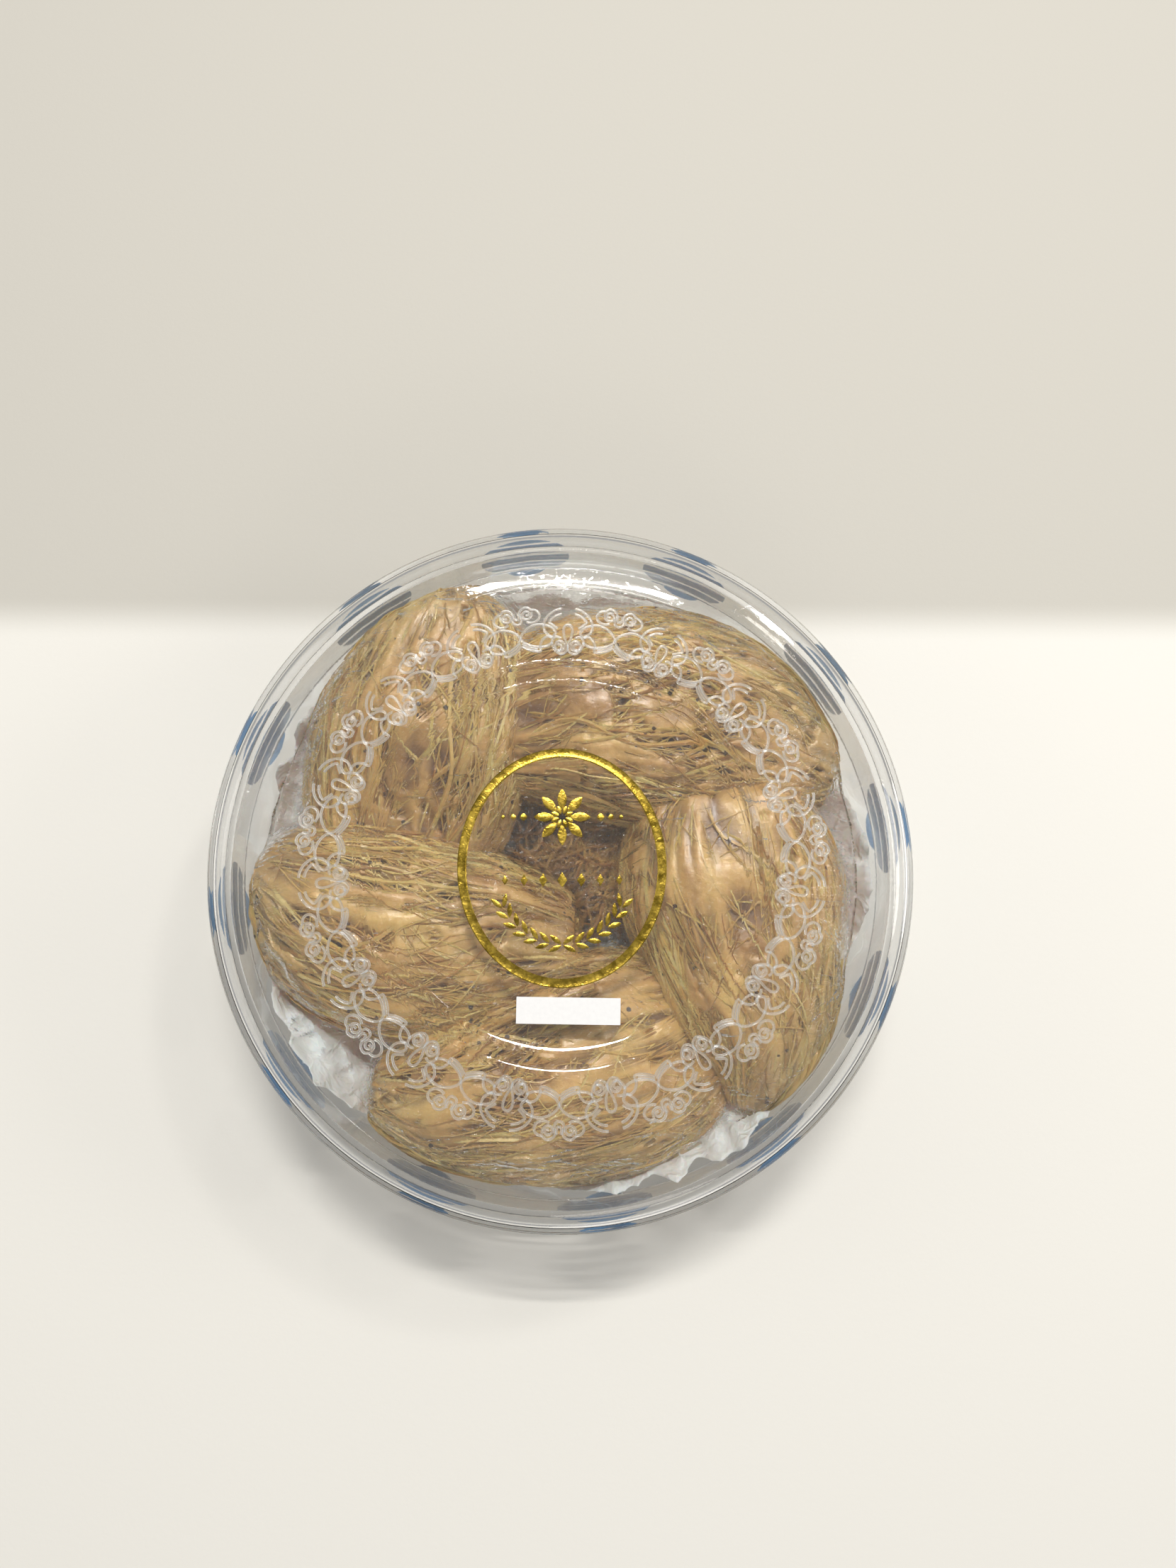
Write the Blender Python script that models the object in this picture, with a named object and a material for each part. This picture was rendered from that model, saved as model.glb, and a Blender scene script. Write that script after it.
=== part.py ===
"""Five half-cup edible nests under film in a round clear box, sealed with tape.

Metres, +Z up. The origin is on the axis of the box, at the plane that it stands on.
+X is to the right of the label and +Y points away from a reader of the label.
"""

import math

import bmesh
import bpy
from mathutils import Vector
from mathutils.bvhtree import BVHTree

# Driving dimensions of the box
LID_RADIUS = 0.0897
BOX_HEIGHT = 0.052
WALL = 0.0018
GAP = 0.0003
ROUND_STEPS = 54
SAME_POINT = 1e-6

# The lid
SUNK_DISC_RADIUS = 0.046
SUNK_RIM_RADIUS = 0.051
SUNK_DEPTH = 0.0012
FLAT_TOP_RADIUS = 0.067
SHOULDER_DROP = 0.0040
SHOULDER_POWER = 2.4
SHOULDER_STEPS = 5
SKIRT_LENGTH = 0.0215

# The tray
TRAY_RADIUS = LID_RADIUS - WALL - GAP
TRAY_RIM_Z = 0.0418
TRAY_HEEL_Z = 0.014
TRAY_TAPER = 0.0018
FOOT_OUTER = 0.076
FOOT_INNER = 0.071
FOOT_DEPTH = 0.0008
HEEL_POWER = 2.0
HEEL_STEPS = 4

# The tape round the joint of lid and tray
TAPE_THICKNESS = 0.00015
TAPE_GAP = 0.00015
TAPE_TOP_Z = 0.0470
TAPE_STEP_IN = 0.0026
TAPE_TRAY_INSET = 0.00063
TAPE_BOTTOM_Z = 0.0215
TAPE_END_DEG = 112.0
TAPE_OPEN_DEG = 4.0
TAPE_STEPS = 54

# The paper label on the sunk disc
LABEL_SIZE = (0.0257, 0.0065)
LABEL_CENTRE = (0.0011, -0.0367)
LABEL_THICKNESS = 0.00012
LABEL_GAP = 0.0001
LABEL_TURN_DEG = -1.2

# The nests: stations along the middle of each, as x, y, half width and crest height
NESTS = {
    "nest_back_left": [
        (-0.0300, 0.0775, 0.0100, 0.0400),
        (-0.0310, 0.0660, 0.0215, 0.0430),
        (-0.0350, 0.0490, 0.0275, 0.0440),
        (-0.0400, 0.0310, 0.0295, 0.0415),
        (-0.0430, 0.0120, 0.0270, 0.0340),
        (-0.0440, -0.0080, 0.0190, 0.0290),
    ],
    "nest_back_right": [
        (-0.0200, 0.0370, 0.0190, 0.0370),
        (0.0040, 0.0430, 0.0275, 0.0435),
        (0.0300, 0.0415, 0.0300, 0.0440),
        (0.0550, 0.0355, 0.0255, 0.0400),
        (0.0760, 0.0270, 0.0140, 0.0330),
    ],
    "nest_left": [
        (-0.0810, 0.0010, 0.0125, 0.0370),
        (-0.0640, -0.0090, 0.0235, 0.0425),
        (-0.0420, -0.0180, 0.0270, 0.0440),
        (-0.0180, -0.0195, 0.0225, 0.0405),
        (0.0030, -0.0200, 0.0150, 0.0310),
    ],
    "nest_front": [
        (-0.0500, -0.0580, 0.0105, 0.0350),
        (-0.0330, -0.0600, 0.0190, 0.0410),
        (-0.0080, -0.0560, 0.0260, 0.0440),
        (0.0160, -0.0500, 0.0285, 0.0410),
        (0.0380, -0.0430, 0.0230, 0.0310),
    ],
    "nest_right": [
        (0.0420, 0.0210, 0.0240, 0.0425),
        (0.0455, -0.0030, 0.0300, 0.0445),
        (0.0500, -0.0280, 0.0250, 0.0435),
        (0.0540, -0.0480, 0.0180, 0.0400),
        (0.0510, -0.0640, 0.0095, 0.0340),
    ],
}
NEST_BELLY_Z = 0.025
NEST_RIM_Z = 0.0100
NEST_WALL = 0.0070
NEST_RIM_TUCK = 0.80
NEST_POWER = 2.7
NEST_END_SCALE = 0.45
NEST_END_POWER = 5
NEST_FOOT_SHARE = 0.14
NEST_THIN_SHARE = 0.5
NEST_HOLLOW_LIFT = 0.0004
NEST_HOLLOW_LEAST = 0.001
NEST_WALL_CLEARANCE = 0.0009
NEST_PRESS_DEPTH = 0.003
NEST_STATIONS = 13
NEST_EVEN_SHARE = 0.6
NEST_LOOK_AHEAD = 0.01
NEST_OUTER_POINTS = 17
NEST_INNER_POINTS = 5
RIDGES = 4
RIDGE_HEIGHT = 0.0010
RIDGE_SLANT = 5
CUT_CLEARANCE = 0.0006

# The tissue paper under the nests. A tuft stands up at an angle in degrees, over a spread in
# degrees to each side and by a height.
TISSUE_RADIUS = 0.0825
TISSUE_BASE_TOP = 0.0060
TISSUE_PAD = 0.003
TISSUE_LEAST = 0.0008
TISSUE_RINGS = 7
TISSUE_STEPS = 36
TISSUE_CREASE = 0.0016
TISSUE_CREASE_PITCH = (310, 270)
TISSUE_CREASE_SWAY = (140, 170)
TISSUE_SWAY = 2
TISSUE_CLEARANCE = 0.0012
TISSUE_REACH = 0.014
TISSUE_TUFTS = [
    (213.0, 11.0, 0.020),
    (300.0, 16.0, 0.022),
    (-7.0, 16.0, 0.018),
    (56.0, 12.0, 0.016),
]
TISSUE_TUFT_START = 0.066

# The film over the nests
FILM_RADIUS = 0.079
FILM_THICKNESS = 0.0003
FILM_CLEARANCE = 0.0012
FILM_REACH = 0.006
FILM_FLOOR = 0.030
FILM_RINGS = 7
FILM_STEPS = 28

# Rays that find the nests start above and below everything, and look at places round a spot
RAY_HEIGHT = 1.0
PLACES_ROUND = 8

# Edges sharper than these stay sharp
TURNED_SHARP = math.radians(35)
NEST_SHARP = math.radians(50)
SHEET_SHARP = math.radians(60)

# Colour, roughness and how much light passes, for each material
MATERIALS = {
    "clear_plastic": ((0.95, 0.97, 0.98), 0.05, 1.0),
    "nest_strands": ((0.50, 0.36, 0.22), 0.45, 0.0),
    "tissue": ((0.92, 0.92, 0.93), 0.9, 0.0),
    "film": ((0.97, 0.98, 0.98), 0.08, 1.0),
    "label_paper": ((0.93, 0.93, 0.91), 0.7, 0.0),
    "tape_film": ((0.10, 0.30, 0.62), 0.25, 0.0),
}


def clear_scene():
    for obj in list(bpy.data.objects):
        bpy.data.objects.remove(obj, do_unlink=True)


def make_material(name):
    color, roughness, transmission = MATERIALS[name]
    material = bpy.data.materials.new(name)
    material.use_nodes = True
    shader = material.node_tree.nodes["Principled BSDF"]
    shader.inputs["Base Color"].default_value = (*color, 1.0)
    shader.inputs["Roughness"].default_value = roughness
    shader.inputs["Transmission Weight"].default_value = transmission
    return material


def finish_object(name, bm, material, smooth_angle=None):
    """Turn a bmesh into one named object with outward faces."""
    bmesh.ops.recalc_face_normals(bm, faces=bm.faces)
    mesh = bpy.data.meshes.new(name)
    bm.to_mesh(mesh)
    bm.free()
    if smooth_angle is not None:
        mesh.shade_smooth()
        mesh.set_sharp_from_angle(angle=smooth_angle)
    obj = bpy.data.objects.new(name, mesh)
    bpy.context.scene.collection.objects.link(obj)
    obj.data.materials.append(material)
    return obj


def arc_points(start, end, power, steps, outward_first):
    """Points of a rounded corner from start to end, both (radius, height), without the first one."""
    points = []
    for index in range(1, steps + 1):
        angle = math.pi / 2 * index / steps
        along = math.sin(angle) ** (2 / power)
        across = 1 - math.cos(angle) ** (2 / power)
        if not outward_first:
            along, across = across, along
        points.append((
            start[0] + (end[0] - start[0]) * along,
            start[1] + (end[1] - start[1]) * across,
        ))
    return points


def turned_solid(name, profile, material):
    """Spin a profile that runs from the axis to the axis into a closed round solid."""
    bm = bmesh.new()
    verts = [bm.verts.new((radius, 0, height)) for radius, height in profile]
    edges = [bm.edges.new(pair) for pair in zip(verts, verts[1:])]
    bmesh.ops.spin(
        bm, geom=verts + edges, axis=(0, 0, 1), cent=(0, 0, 0),
        angle=math.tau, steps=ROUND_STEPS, use_merge=True,
    )
    bmesh.ops.remove_doubles(bm, verts=bm.verts, dist=SAME_POINT)
    return finish_object(name, bm, material, TURNED_SHARP)


def lid_skin(inset):
    """The lid's outer side, moved inwards by inset, from the axis to the bottom of the skirt."""
    top = BOX_HEIGHT - inset
    radius = LID_RADIUS - inset
    points = [
        (0, top - SUNK_DEPTH),
        (SUNK_DISC_RADIUS, top - SUNK_DEPTH),
        (SUNK_RIM_RADIUS, top),
        (FLAT_TOP_RADIUS, top),
    ]
    shoulder_end = (radius, top - SHOULDER_DROP)
    points += arc_points(points[-1], shoulder_end, SHOULDER_POWER, SHOULDER_STEPS, True)
    points.append((radius, BOX_HEIGHT - SHOULDER_DROP - SKIRT_LENGTH))
    return points


def make_lid(material):
    return turned_solid("box_lid", lid_skin(0) + lid_skin(WALL)[::-1], material)


def tray_skin(inset):
    """The tray's outer side, moved inwards by inset, from the rim down to the foot."""
    heel = (TRAY_RADIUS - TRAY_TAPER - inset, TRAY_HEEL_Z)
    foot = (FOOT_OUTER - inset, inset)
    points = [(TRAY_RADIUS - inset, TRAY_RIM_Z), heel]
    points += arc_points(heel, foot, HEEL_POWER, HEEL_STEPS, False)
    return points


def make_tray(material):
    underside = [(FOOT_INNER, 0), (FOOT_INNER - FOOT_DEPTH, FOOT_DEPTH), (0, FOOT_DEPTH)]
    floor = [(0, WALL + FOOT_DEPTH), (FOOT_INNER - FOOT_DEPTH, WALL + FOOT_DEPTH)]
    inside = [point for point in tray_skin(WALL)[::-1] if point[1] > WALL + FOOT_DEPTH]
    profile = tray_skin(0) + underside + floor + inside
    # The profile is closed from rim to rim through the axis, so it starts and ends there.
    axis_start = profile.index((0, WALL + FOOT_DEPTH))
    return turned_solid("box_tray", profile[axis_start:] + profile[:axis_start], material)


def make_tape(material):
    """A strip round the skirt that steps in to the tray below it and leaves its two ends apart."""
    skirt_end = BOX_HEIGHT - SHOULDER_DROP - SKIRT_LENGTH
    on_lid = LID_RADIUS + TAPE_GAP
    on_tray = TRAY_RADIUS - TAPE_TRAY_INSET
    inner = [
        (on_lid, TAPE_TOP_Z),
        (on_lid, skirt_end - TAPE_GAP),
        (on_tray, skirt_end - TAPE_STEP_IN),
        (on_tray, TAPE_BOTTOM_Z),
    ]
    outer = [(radius + TAPE_THICKNESS, height) for radius, height in inner]
    outline = outer + inner[::-1]
    bm = bmesh.new()
    start = math.radians(TAPE_END_DEG + TAPE_OPEN_DEG / 2)
    verts = [
        bm.verts.new((radius * math.cos(start), radius * math.sin(start), height))
        for radius, height in outline
    ]
    face = bm.faces.new(verts)
    bmesh.ops.spin(
        bm, geom=[face], axis=(0, 0, 1), cent=(0, 0, 0),
        angle=math.radians(360 - TAPE_OPEN_DEG), steps=TAPE_STEPS,
    )
    return finish_object("seal_tape", bm, material, TURNED_SHARP)


def make_label(material):
    """A thin card on the sunk disc, turned a little as it was stuck on."""
    bm = bmesh.new()
    bmesh.ops.create_cube(bm, size=1.0)
    bmesh.ops.scale(bm, vec=(*LABEL_SIZE, LABEL_THICKNESS), verts=bm.verts)
    obj = finish_object("paper_label", bm, material)
    height = BOX_HEIGHT - SUNK_DEPTH + LABEL_GAP + LABEL_THICKNESS / 2
    obj.location = (*LABEL_CENTRE, height)
    obj.rotation_euler = (0, 0, math.radians(LABEL_TURN_DEG))
    return obj


def smooth_value(stations, place):
    """Each number of the stations at a place from 0 to 1 along them, on a Catmull-Rom curve."""
    last = len(stations) - 1
    index = min(int(place * last), last - 1)
    part = place * last - index
    before, left = stations[max(index - 1, 0)], stations[index]
    right, after = stations[index + 1], stations[min(index + 2, last)]
    return [
        b + 0.5 * part * (c - a + part * (2 * a - 5 * b + 4 * c - d + part * (3 * (b - c) + d - a)))
        for a, b, c, d in zip(before, left, right, after)
    ]


def tray_inside_radius(height):
    """How far the tray's inner side is from the axis at a height."""
    heel_radius = TRAY_RADIUS - TRAY_TAPER - WALL
    if height < TRAY_HEEL_Z:
        drop = min((TRAY_HEEL_Z - height) / (TRAY_HEEL_Z - WALL), 1.0)
        foot_radius = FOOT_OUTER - WALL
        return foot_radius + (heel_radius - foot_radius) * math.sqrt(1 - drop * drop)
    part = min((height - TRAY_HEEL_Z) / (TRAY_RIM_Z - TRAY_HEEL_Z), 1.0)
    return heel_radius + TRAY_TAPER * part


def held_in(point):
    """A nest that reaches the wall is pressed in by it, more the further it would stand out."""
    radius = math.hypot(point.x, point.y)
    start = tray_inside_radius(point.z) - NEST_WALL_CLEARANCE - NEST_PRESS_DEPTH
    if radius > start:
        pressed = start + NEST_PRESS_DEPTH * (1 - math.exp((start - radius) / NEST_PRESS_DEPTH))
        point = Vector((point.x * pressed / radius, point.y * pressed / radius, point.z))
    return point


def outer_outline(place, half, crest, round_off):
    """The ridged arch over a nest's back at a place along it, as (across, up)."""
    outline = []
    for step in range(NEST_OUTER_POINTS):
        turn = math.pi * step / (NEST_OUTER_POINTS - 1)
        ridge = RIDGE_HEIGHT * math.cos(2 * RIDGES * turn + RIDGE_SLANT * place) * round_off
        reach = 1 + ridge / half
        across = -abs(math.cos(turn)) ** (2 / NEST_POWER) * math.copysign(1, math.cos(turn))
        up = math.sin(turn) ** (2 / NEST_POWER)
        outline.append((half * reach * across, NEST_BELLY_Z + (crest - NEST_BELLY_Z) * reach * up))
    return outline


def inner_outline(place, half, crest):
    """The hollow under a nest, which fades out at both of its thick feet, as (across, up)."""
    from_end = (min(place, 1 - place) - NEST_FOOT_SHARE) / NEST_FOOT_SHARE
    depth = min(max(from_end, 0.0), 1.0)
    wall = NEST_WALL * min(1.0, half / NEST_WALL * NEST_THIN_SHARE)
    inner_half = NEST_RIM_TUCK * half - wall
    room = max(crest - NEST_WALL - NEST_RIM_Z, NEST_HOLLOW_LEAST)
    inner_top = room * depth + NEST_HOLLOW_LIFT
    turns = [math.pi * step / (NEST_INNER_POINTS - 1) for step in range(NEST_INNER_POINTS)]
    return [
        (inner_half * math.cos(turn), NEST_RIM_Z + inner_top * math.sin(turn)) for turn in turns
    ]


def nest_sections(stations, grow, hollow):
    """The closed outlines of a nest's arch along its length, grown by grow. Without hollow the
    underside is flat and below the tray, which is the form that cuts a neighbour."""
    sections = []
    for index in range(NEST_STATIONS):
        even = index / (NEST_STATIONS - 1)
        eased = (1 - math.cos(math.pi * even)) / 2
        place = NEST_EVEN_SHARE * even + (1 - NEST_EVEN_SHARE) * eased
        x, y, half, crest = smooth_value(stations, place)
        ahead = smooth_value(stations, min(place + NEST_LOOK_AHEAD, 1.0))
        behind = smooth_value(stations, max(place - NEST_LOOK_AHEAD, 0.0))
        along = Vector((ahead[0] - behind[0], ahead[1] - behind[1], 0)).normalized()
        side = Vector((-along.y, along.x, 0))
        end = (1 - abs(2 * place - 1) ** NEST_END_POWER) ** (1 / NEST_END_POWER)
        round_off = NEST_END_SCALE + (1 - NEST_END_SCALE) * end
        half = half * round_off + grow
        crest = NEST_BELLY_Z + (crest - NEST_BELLY_Z) * round_off + grow
        rim = NEST_RIM_Z if hollow else 0.0
        outline = [(-NEST_RIM_TUCK * half, rim)]
        outline += outer_outline(place, half, crest, round_off)
        outline.append((NEST_RIM_TUCK * half, rim))
        if hollow:
            outline += inner_outline(place, half, crest)
        middle = Vector((x, y, 0)) + along * grow * (2 * place - 1)
        sections.append([
            held_in(middle + side * across + Vector((0, 0, up))) for across, up in outline
        ])
    return sections


def nest_mesh(sections):
    """Bridge the sections into one closed bmesh and cap both ends."""
    bm = bmesh.new()
    rings = [[bm.verts.new(point) for point in section] for section in sections]
    for ring, following in zip(rings, rings[1:]):
        count = len(ring)
        for index in range(count):
            after = (index + 1) % count
            bm.faces.new((ring[index], ring[after], following[after], following[index]))
    caps = [bm.faces.new(ring) for ring in (rings[0], rings[-1])]
    bmesh.ops.poke(bm, faces=caps)
    bmesh.ops.triangulate(bm, faces=bm.faces)
    return bm


def make_nests(material):
    """Each nest lies on those made before it, so it is cut out of them with a little clearance."""
    nests = []
    for name, stations in NESTS.items():
        nest_bm = nest_mesh(nest_sections(stations, 0, True))
        nest = finish_object(name, nest_bm, material, NEST_SHARP)
        if nests:
            cutter_bm = nest_mesh(nest_sections(stations, CUT_CLEARANCE, False))
            cutter = finish_object(name + "_cutter", cutter_bm, material)
            cutter.hide_render = True
            cutter.display_type = "WIRE"
            for lower in nests:
                cut = lower.modifiers.new("under_" + name, "BOOLEAN")
                cut.operation = "DIFFERENCE"
                cut.object = cutter
        nests.append(nest)
    return nests


def disc_sheet(name, radius, rings, steps, low, high, material):
    """A round sheet whose two sides are at the heights low(x, y) and high(x, y)."""
    bm = bmesh.new()
    sides = []
    for height in (low, high):
        centre = bm.verts.new((0, 0, height(0, 0)))
        grid = []
        for ring in range(1, rings + 1):
            reach = radius * ring / rings
            points = [
                (reach * math.cos(math.tau * step / steps), reach * math.sin(math.tau * step / steps))
                for step in range(steps)
            ]
            grid.append([bm.verts.new((x, y, height(x, y))) for x, y in points])
        for step in range(steps):
            after = (step + 1) % steps
            bm.faces.new((centre, grid[0][step], grid[0][after]))
            for inside, outside in zip(grid, grid[1:]):
                bm.faces.new((inside[step], outside[step], outside[after], inside[after]))
        sides.append(grid[-1])
    for step in range(steps):
        after = (step + 1) % steps
        bm.faces.new((sides[0][step], sides[0][after], sides[1][after], sides[1][step]))
    bmesh.ops.triangulate(bm, faces=bm.faces)
    return finish_object(name, bm, material, SHEET_SHARP)


def nest_trees(nests):
    return [
        BVHTree.FromPolygons(
            [vert.co for vert in nest.data.vertices],
            [face.vertices for face in nest.data.polygons],
        )
        for nest in nests
    ]


def spots_round(x, y, reach):
    """The place itself and a ring of places round it."""
    spots = [(x, y)]
    for step in range(PLACES_ROUND):
        turn = math.tau * step / PLACES_ROUND
        spots.append((x + reach * math.cos(turn), y + reach * math.sin(turn)))
    return spots


def ray_heights(trees, spots, start, direction):
    """The heights at which rays along Z from the start height meet the nests."""
    heights = []
    for px, py in spots:
        for tree in trees:
            hit = tree.ray_cast(Vector((px, py, start)), Vector((0, 0, direction)))[0]
            if hit is not None:
                heights.append(hit.z)
    return heights


def make_film(trees, material):
    """Film that lies over the highest things near each place, so it spans the hollows between."""

    def low(x, y):
        spots = spots_round(x, y, FILM_REACH) + spots_round(x, y, FILM_REACH / 2)
        return max([FILM_FLOOR] + ray_heights(trees, spots, RAY_HEIGHT, -1)) + FILM_CLEARANCE

    def high(x, y):
        return low(x, y) + FILM_THICKNESS

    return disc_sheet("cling_film", FILM_RADIUS, FILM_RINGS, FILM_STEPS, low, high, material)


def tray_inside_height(radius):
    """How high the tray's inner side is at a distance from the axis."""
    heel_radius = TRAY_RADIUS - TRAY_TAPER - WALL
    foot_radius = FOOT_OUTER - WALL
    if radius <= foot_radius:
        return WALL + FOOT_DEPTH
    part = min((radius - foot_radius) / (heel_radius - foot_radius), 1.0)
    return WALL + (TRAY_HEEL_Z - WALL) * (1 - math.sqrt(1 - part * part)) + FOOT_DEPTH


def make_tissue(trees, material):
    """A crumpled pad on the tray's floor, with tufts that stand up beside the nests."""

    def low(x, y):
        return tray_inside_height(math.hypot(x, y)) + 2 * GAP

    def crease(x, y):
        along = x * TISSUE_CREASE_PITCH[0] + TISSUE_SWAY * math.sin(y * TISSUE_CREASE_SWAY[0])
        across = y * TISSUE_CREASE_PITCH[1] + TISSUE_SWAY * math.sin(x * TISSUE_CREASE_SWAY[1])
        return TISSUE_CREASE * math.sin(along) * math.sin(across)

    def wanted(x, y):
        radius = math.hypot(x, y)
        turn = math.degrees(math.atan2(y, x))
        part = (radius - TISSUE_TUFT_START) / (TISSUE_RADIUS - TISSUE_TUFT_START)
        outward = max(0.0, min(1.0, part))
        height = max(TISSUE_BASE_TOP, low(x, y) + TISSUE_PAD) + crease(x, y)
        for middle, spread, rise in TISSUE_TUFTS:
            away = (turn - middle + 180) % 360 - 180
            height += rise * outward * max(0.0, 1 - (away / spread) ** 2)
        return height

    def high(x, y):
        spots = spots_round(x, y, TISSUE_REACH) + spots_round(x, y, TISSUE_REACH / 2)
        undersides = [height - TISSUE_CLEARANCE for height in ray_heights(trees, spots, 0.0, 1)]
        return max(min([wanted(x, y)] + undersides), low(x, y) + TISSUE_LEAST)

    return disc_sheet("tissue_paper", TISSUE_RADIUS, TISSUE_RINGS, TISSUE_STEPS, low, high, material)


def main():
    clear_scene()
    materials = {name: make_material(name) for name in MATERIALS}
    make_tray(materials["clear_plastic"])
    make_lid(materials["clear_plastic"])
    trees = nest_trees(make_nests(materials["nest_strands"]))
    make_tissue(trees, materials["tissue"])
    make_film(trees, materials["film"])
    make_label(materials["label_paper"])
    make_tape(materials["tape_film"])


main()
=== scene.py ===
# %% [markdown]
# # Five edible nests in a round clear box
# The object is a shallow box of clear moulded plastic with five half-cup nests inside, laid
# over each other like a pinwheel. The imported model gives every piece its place, and this
# lesson gives each piece its real surface. The frame comes first, because all else sits on it.

import math
import random

import bmesh
import bpy
from mathutils import Matrix, Vector, noise
from mathutils.bvhtree import BVHTree


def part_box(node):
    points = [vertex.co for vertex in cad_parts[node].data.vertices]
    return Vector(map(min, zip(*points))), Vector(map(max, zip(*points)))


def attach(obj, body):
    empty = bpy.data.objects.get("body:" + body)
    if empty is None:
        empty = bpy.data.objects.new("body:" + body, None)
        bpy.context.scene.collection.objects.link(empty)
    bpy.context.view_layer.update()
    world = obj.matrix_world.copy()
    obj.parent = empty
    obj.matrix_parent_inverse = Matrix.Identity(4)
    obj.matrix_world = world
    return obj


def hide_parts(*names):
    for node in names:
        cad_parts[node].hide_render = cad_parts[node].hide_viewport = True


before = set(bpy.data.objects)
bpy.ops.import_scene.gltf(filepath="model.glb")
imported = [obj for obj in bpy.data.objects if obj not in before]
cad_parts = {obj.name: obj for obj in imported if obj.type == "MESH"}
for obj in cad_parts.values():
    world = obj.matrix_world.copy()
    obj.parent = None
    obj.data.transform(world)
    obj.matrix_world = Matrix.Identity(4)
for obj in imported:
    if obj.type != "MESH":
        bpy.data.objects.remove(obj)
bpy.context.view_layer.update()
BODY = "root"
LID_LOW, LID_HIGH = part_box("box_lid")
LID_RADIUS = LID_HIGH.x
BOX_HEIGHT = LID_HIGH.z
print("lid radius", round(LID_RADIUS, 4), "box height", round(BOX_HEIGHT, 4))

# %% [markdown]
# ## Where the camera stands
# The photograph was taken by hand from almost straight above. A camera is fully given by a
# place, a turn and a focal length. Here the turn is two small rotations, one after the other,
# and the focal length is worked out for a frame that is higher than it is wide.

# %% Camera
CAMERA_PLACE = Vector((-0.0018, -0.0234, 0.3187))
CAMERA_NOD_DEG = 9.2
CAMERA_ROLL_DEG = -1.69
FOCAL_PIXELS = 1500.0
FRAME_HEIGHT_PIXELS = 2212.0
SENSOR_MM = 36.0


def make_camera():
    data = bpy.data.cameras.new("camera")
    data.sensor_width = SENSOR_MM
    data.lens = SENSOR_MM * FOCAL_PIXELS / FRAME_HEIGHT_PIXELS
    data.clip_start = 0.01
    camera = bpy.data.objects.new("camera", data)
    nod = Matrix.Rotation(math.radians(CAMERA_NOD_DEG), 4, "X")
    roll = Matrix.Rotation(math.radians(CAMERA_ROLL_DEG), 4, "Y")
    camera.matrix_world = Matrix.Translation(CAMERA_PLACE) @ nod @ roll
    bpy.context.scene.collection.objects.link(camera)
    bpy.context.scene.camera = camera
    print("camera lens", round(data.lens, 2), "mm")


make_camera()

# %% [markdown]
# ## Helpers for pieces
# Every piece starts as a bmesh and ends as an object at the origin, with its place in its
# vertices. One function does the last steps, so no piece forgets to ride on the body, to name
# its material slot or to say which solid it stands for.

# %% Piece helpers


def keep_piece(name, mesh, material, stands_for=(), smooth_deg=None):
    """Link a mesh as a piece of the object and tell the frame about it."""
    if smooth_deg is not None:
        mesh.shade_smooth()
        mesh.set_sharp_from_angle(angle=math.radians(smooth_deg))
    mesh.materials.clear()
    mesh.materials.append(material)
    piece = bpy.data.objects.new(name, mesh)
    bpy.context.scene.collection.objects.link(piece)
    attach(piece, BODY)
    if stands_for:
        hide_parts(*stands_for)
    print(name, len(mesh.polygons), "faces")
    return piece


def mesh_from(bm, name, outward=True):
    """Write a bmesh to a new mesh, with its faces turned outwards."""
    if outward:
        bmesh.ops.recalc_face_normals(bm, faces=bm.faces)
    mesh = bpy.data.meshes.new(name)
    bm.to_mesh(mesh)
    bm.free()
    return mesh


def mesh_from_curve(curve, name):
    """Take the mesh that a bevelled curve makes, and drop the curve."""
    holder = bpy.data.objects.new(name + "_curve", curve)
    bpy.context.scene.collection.objects.link(holder)
    graph = bpy.context.evaluated_depsgraph_get()
    mesh = bpy.data.meshes.new_from_object(holder.evaluated_get(graph))
    bpy.data.objects.remove(holder, do_unlink=True)
    mesh.name = name
    return mesh


# %% [markdown]
# ## Helpers for materials
# A material is a small graph of nodes. A few short functions keep the graphs readable. Each
# gives back a pair, a node and the name of its output, and takes such pairs or plain values
# as its sources, so a graph reads like a sum.

# %% Material helpers


def new_material(name, **values):
    """A material, its tree and its Principled shader, whose own sockets take the values."""
    material = bpy.data.materials.new(name)
    material.use_nodes = True
    tree = material.node_tree
    shader = tree.nodes["Principled BSDF"]
    for key, value in values.items():
        shader.inputs[key.replace("_", " ")].default_value = value
    return material, tree, shader


def feed(tree, node, socket, source):
    """Give an input its source: a plain value, or a pair of a node and its output's name."""
    if isinstance(source, tuple) and isinstance(source[0], bpy.types.Node):
        tree.links.new(source[0].outputs[source[1]], node.inputs[socket])
    else:
        node.inputs[socket].default_value = source


def add_node(tree, kind, settings=None, sources=None):
    """Add a node. Settings are its own properties, and sources feed its inputs."""
    node = tree.nodes.new(kind)
    for key, value in (settings or {}).items():
        setattr(node, key, value)
    for socket, source in (sources or {}).items():
        feed(tree, node, socket, source)
    return node


def math_of(tree, operation, *sources, clamp=False):
    settings = {"operation": operation, "use_clamp": clamp}
    return add_node(tree, "ShaderNodeMath", settings, dict(enumerate(sources))), "Value"


def ranged(tree, source, settings=None, **ends):
    """Map a value from one range to another, both 0 to 1 unless the ends say otherwise."""
    sources = {key.replace("_", " "): value for key, value in ends.items()}
    return add_node(tree, "ShaderNodeMapRange", settings, {"Value": source, **sources}), "Result"


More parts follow.
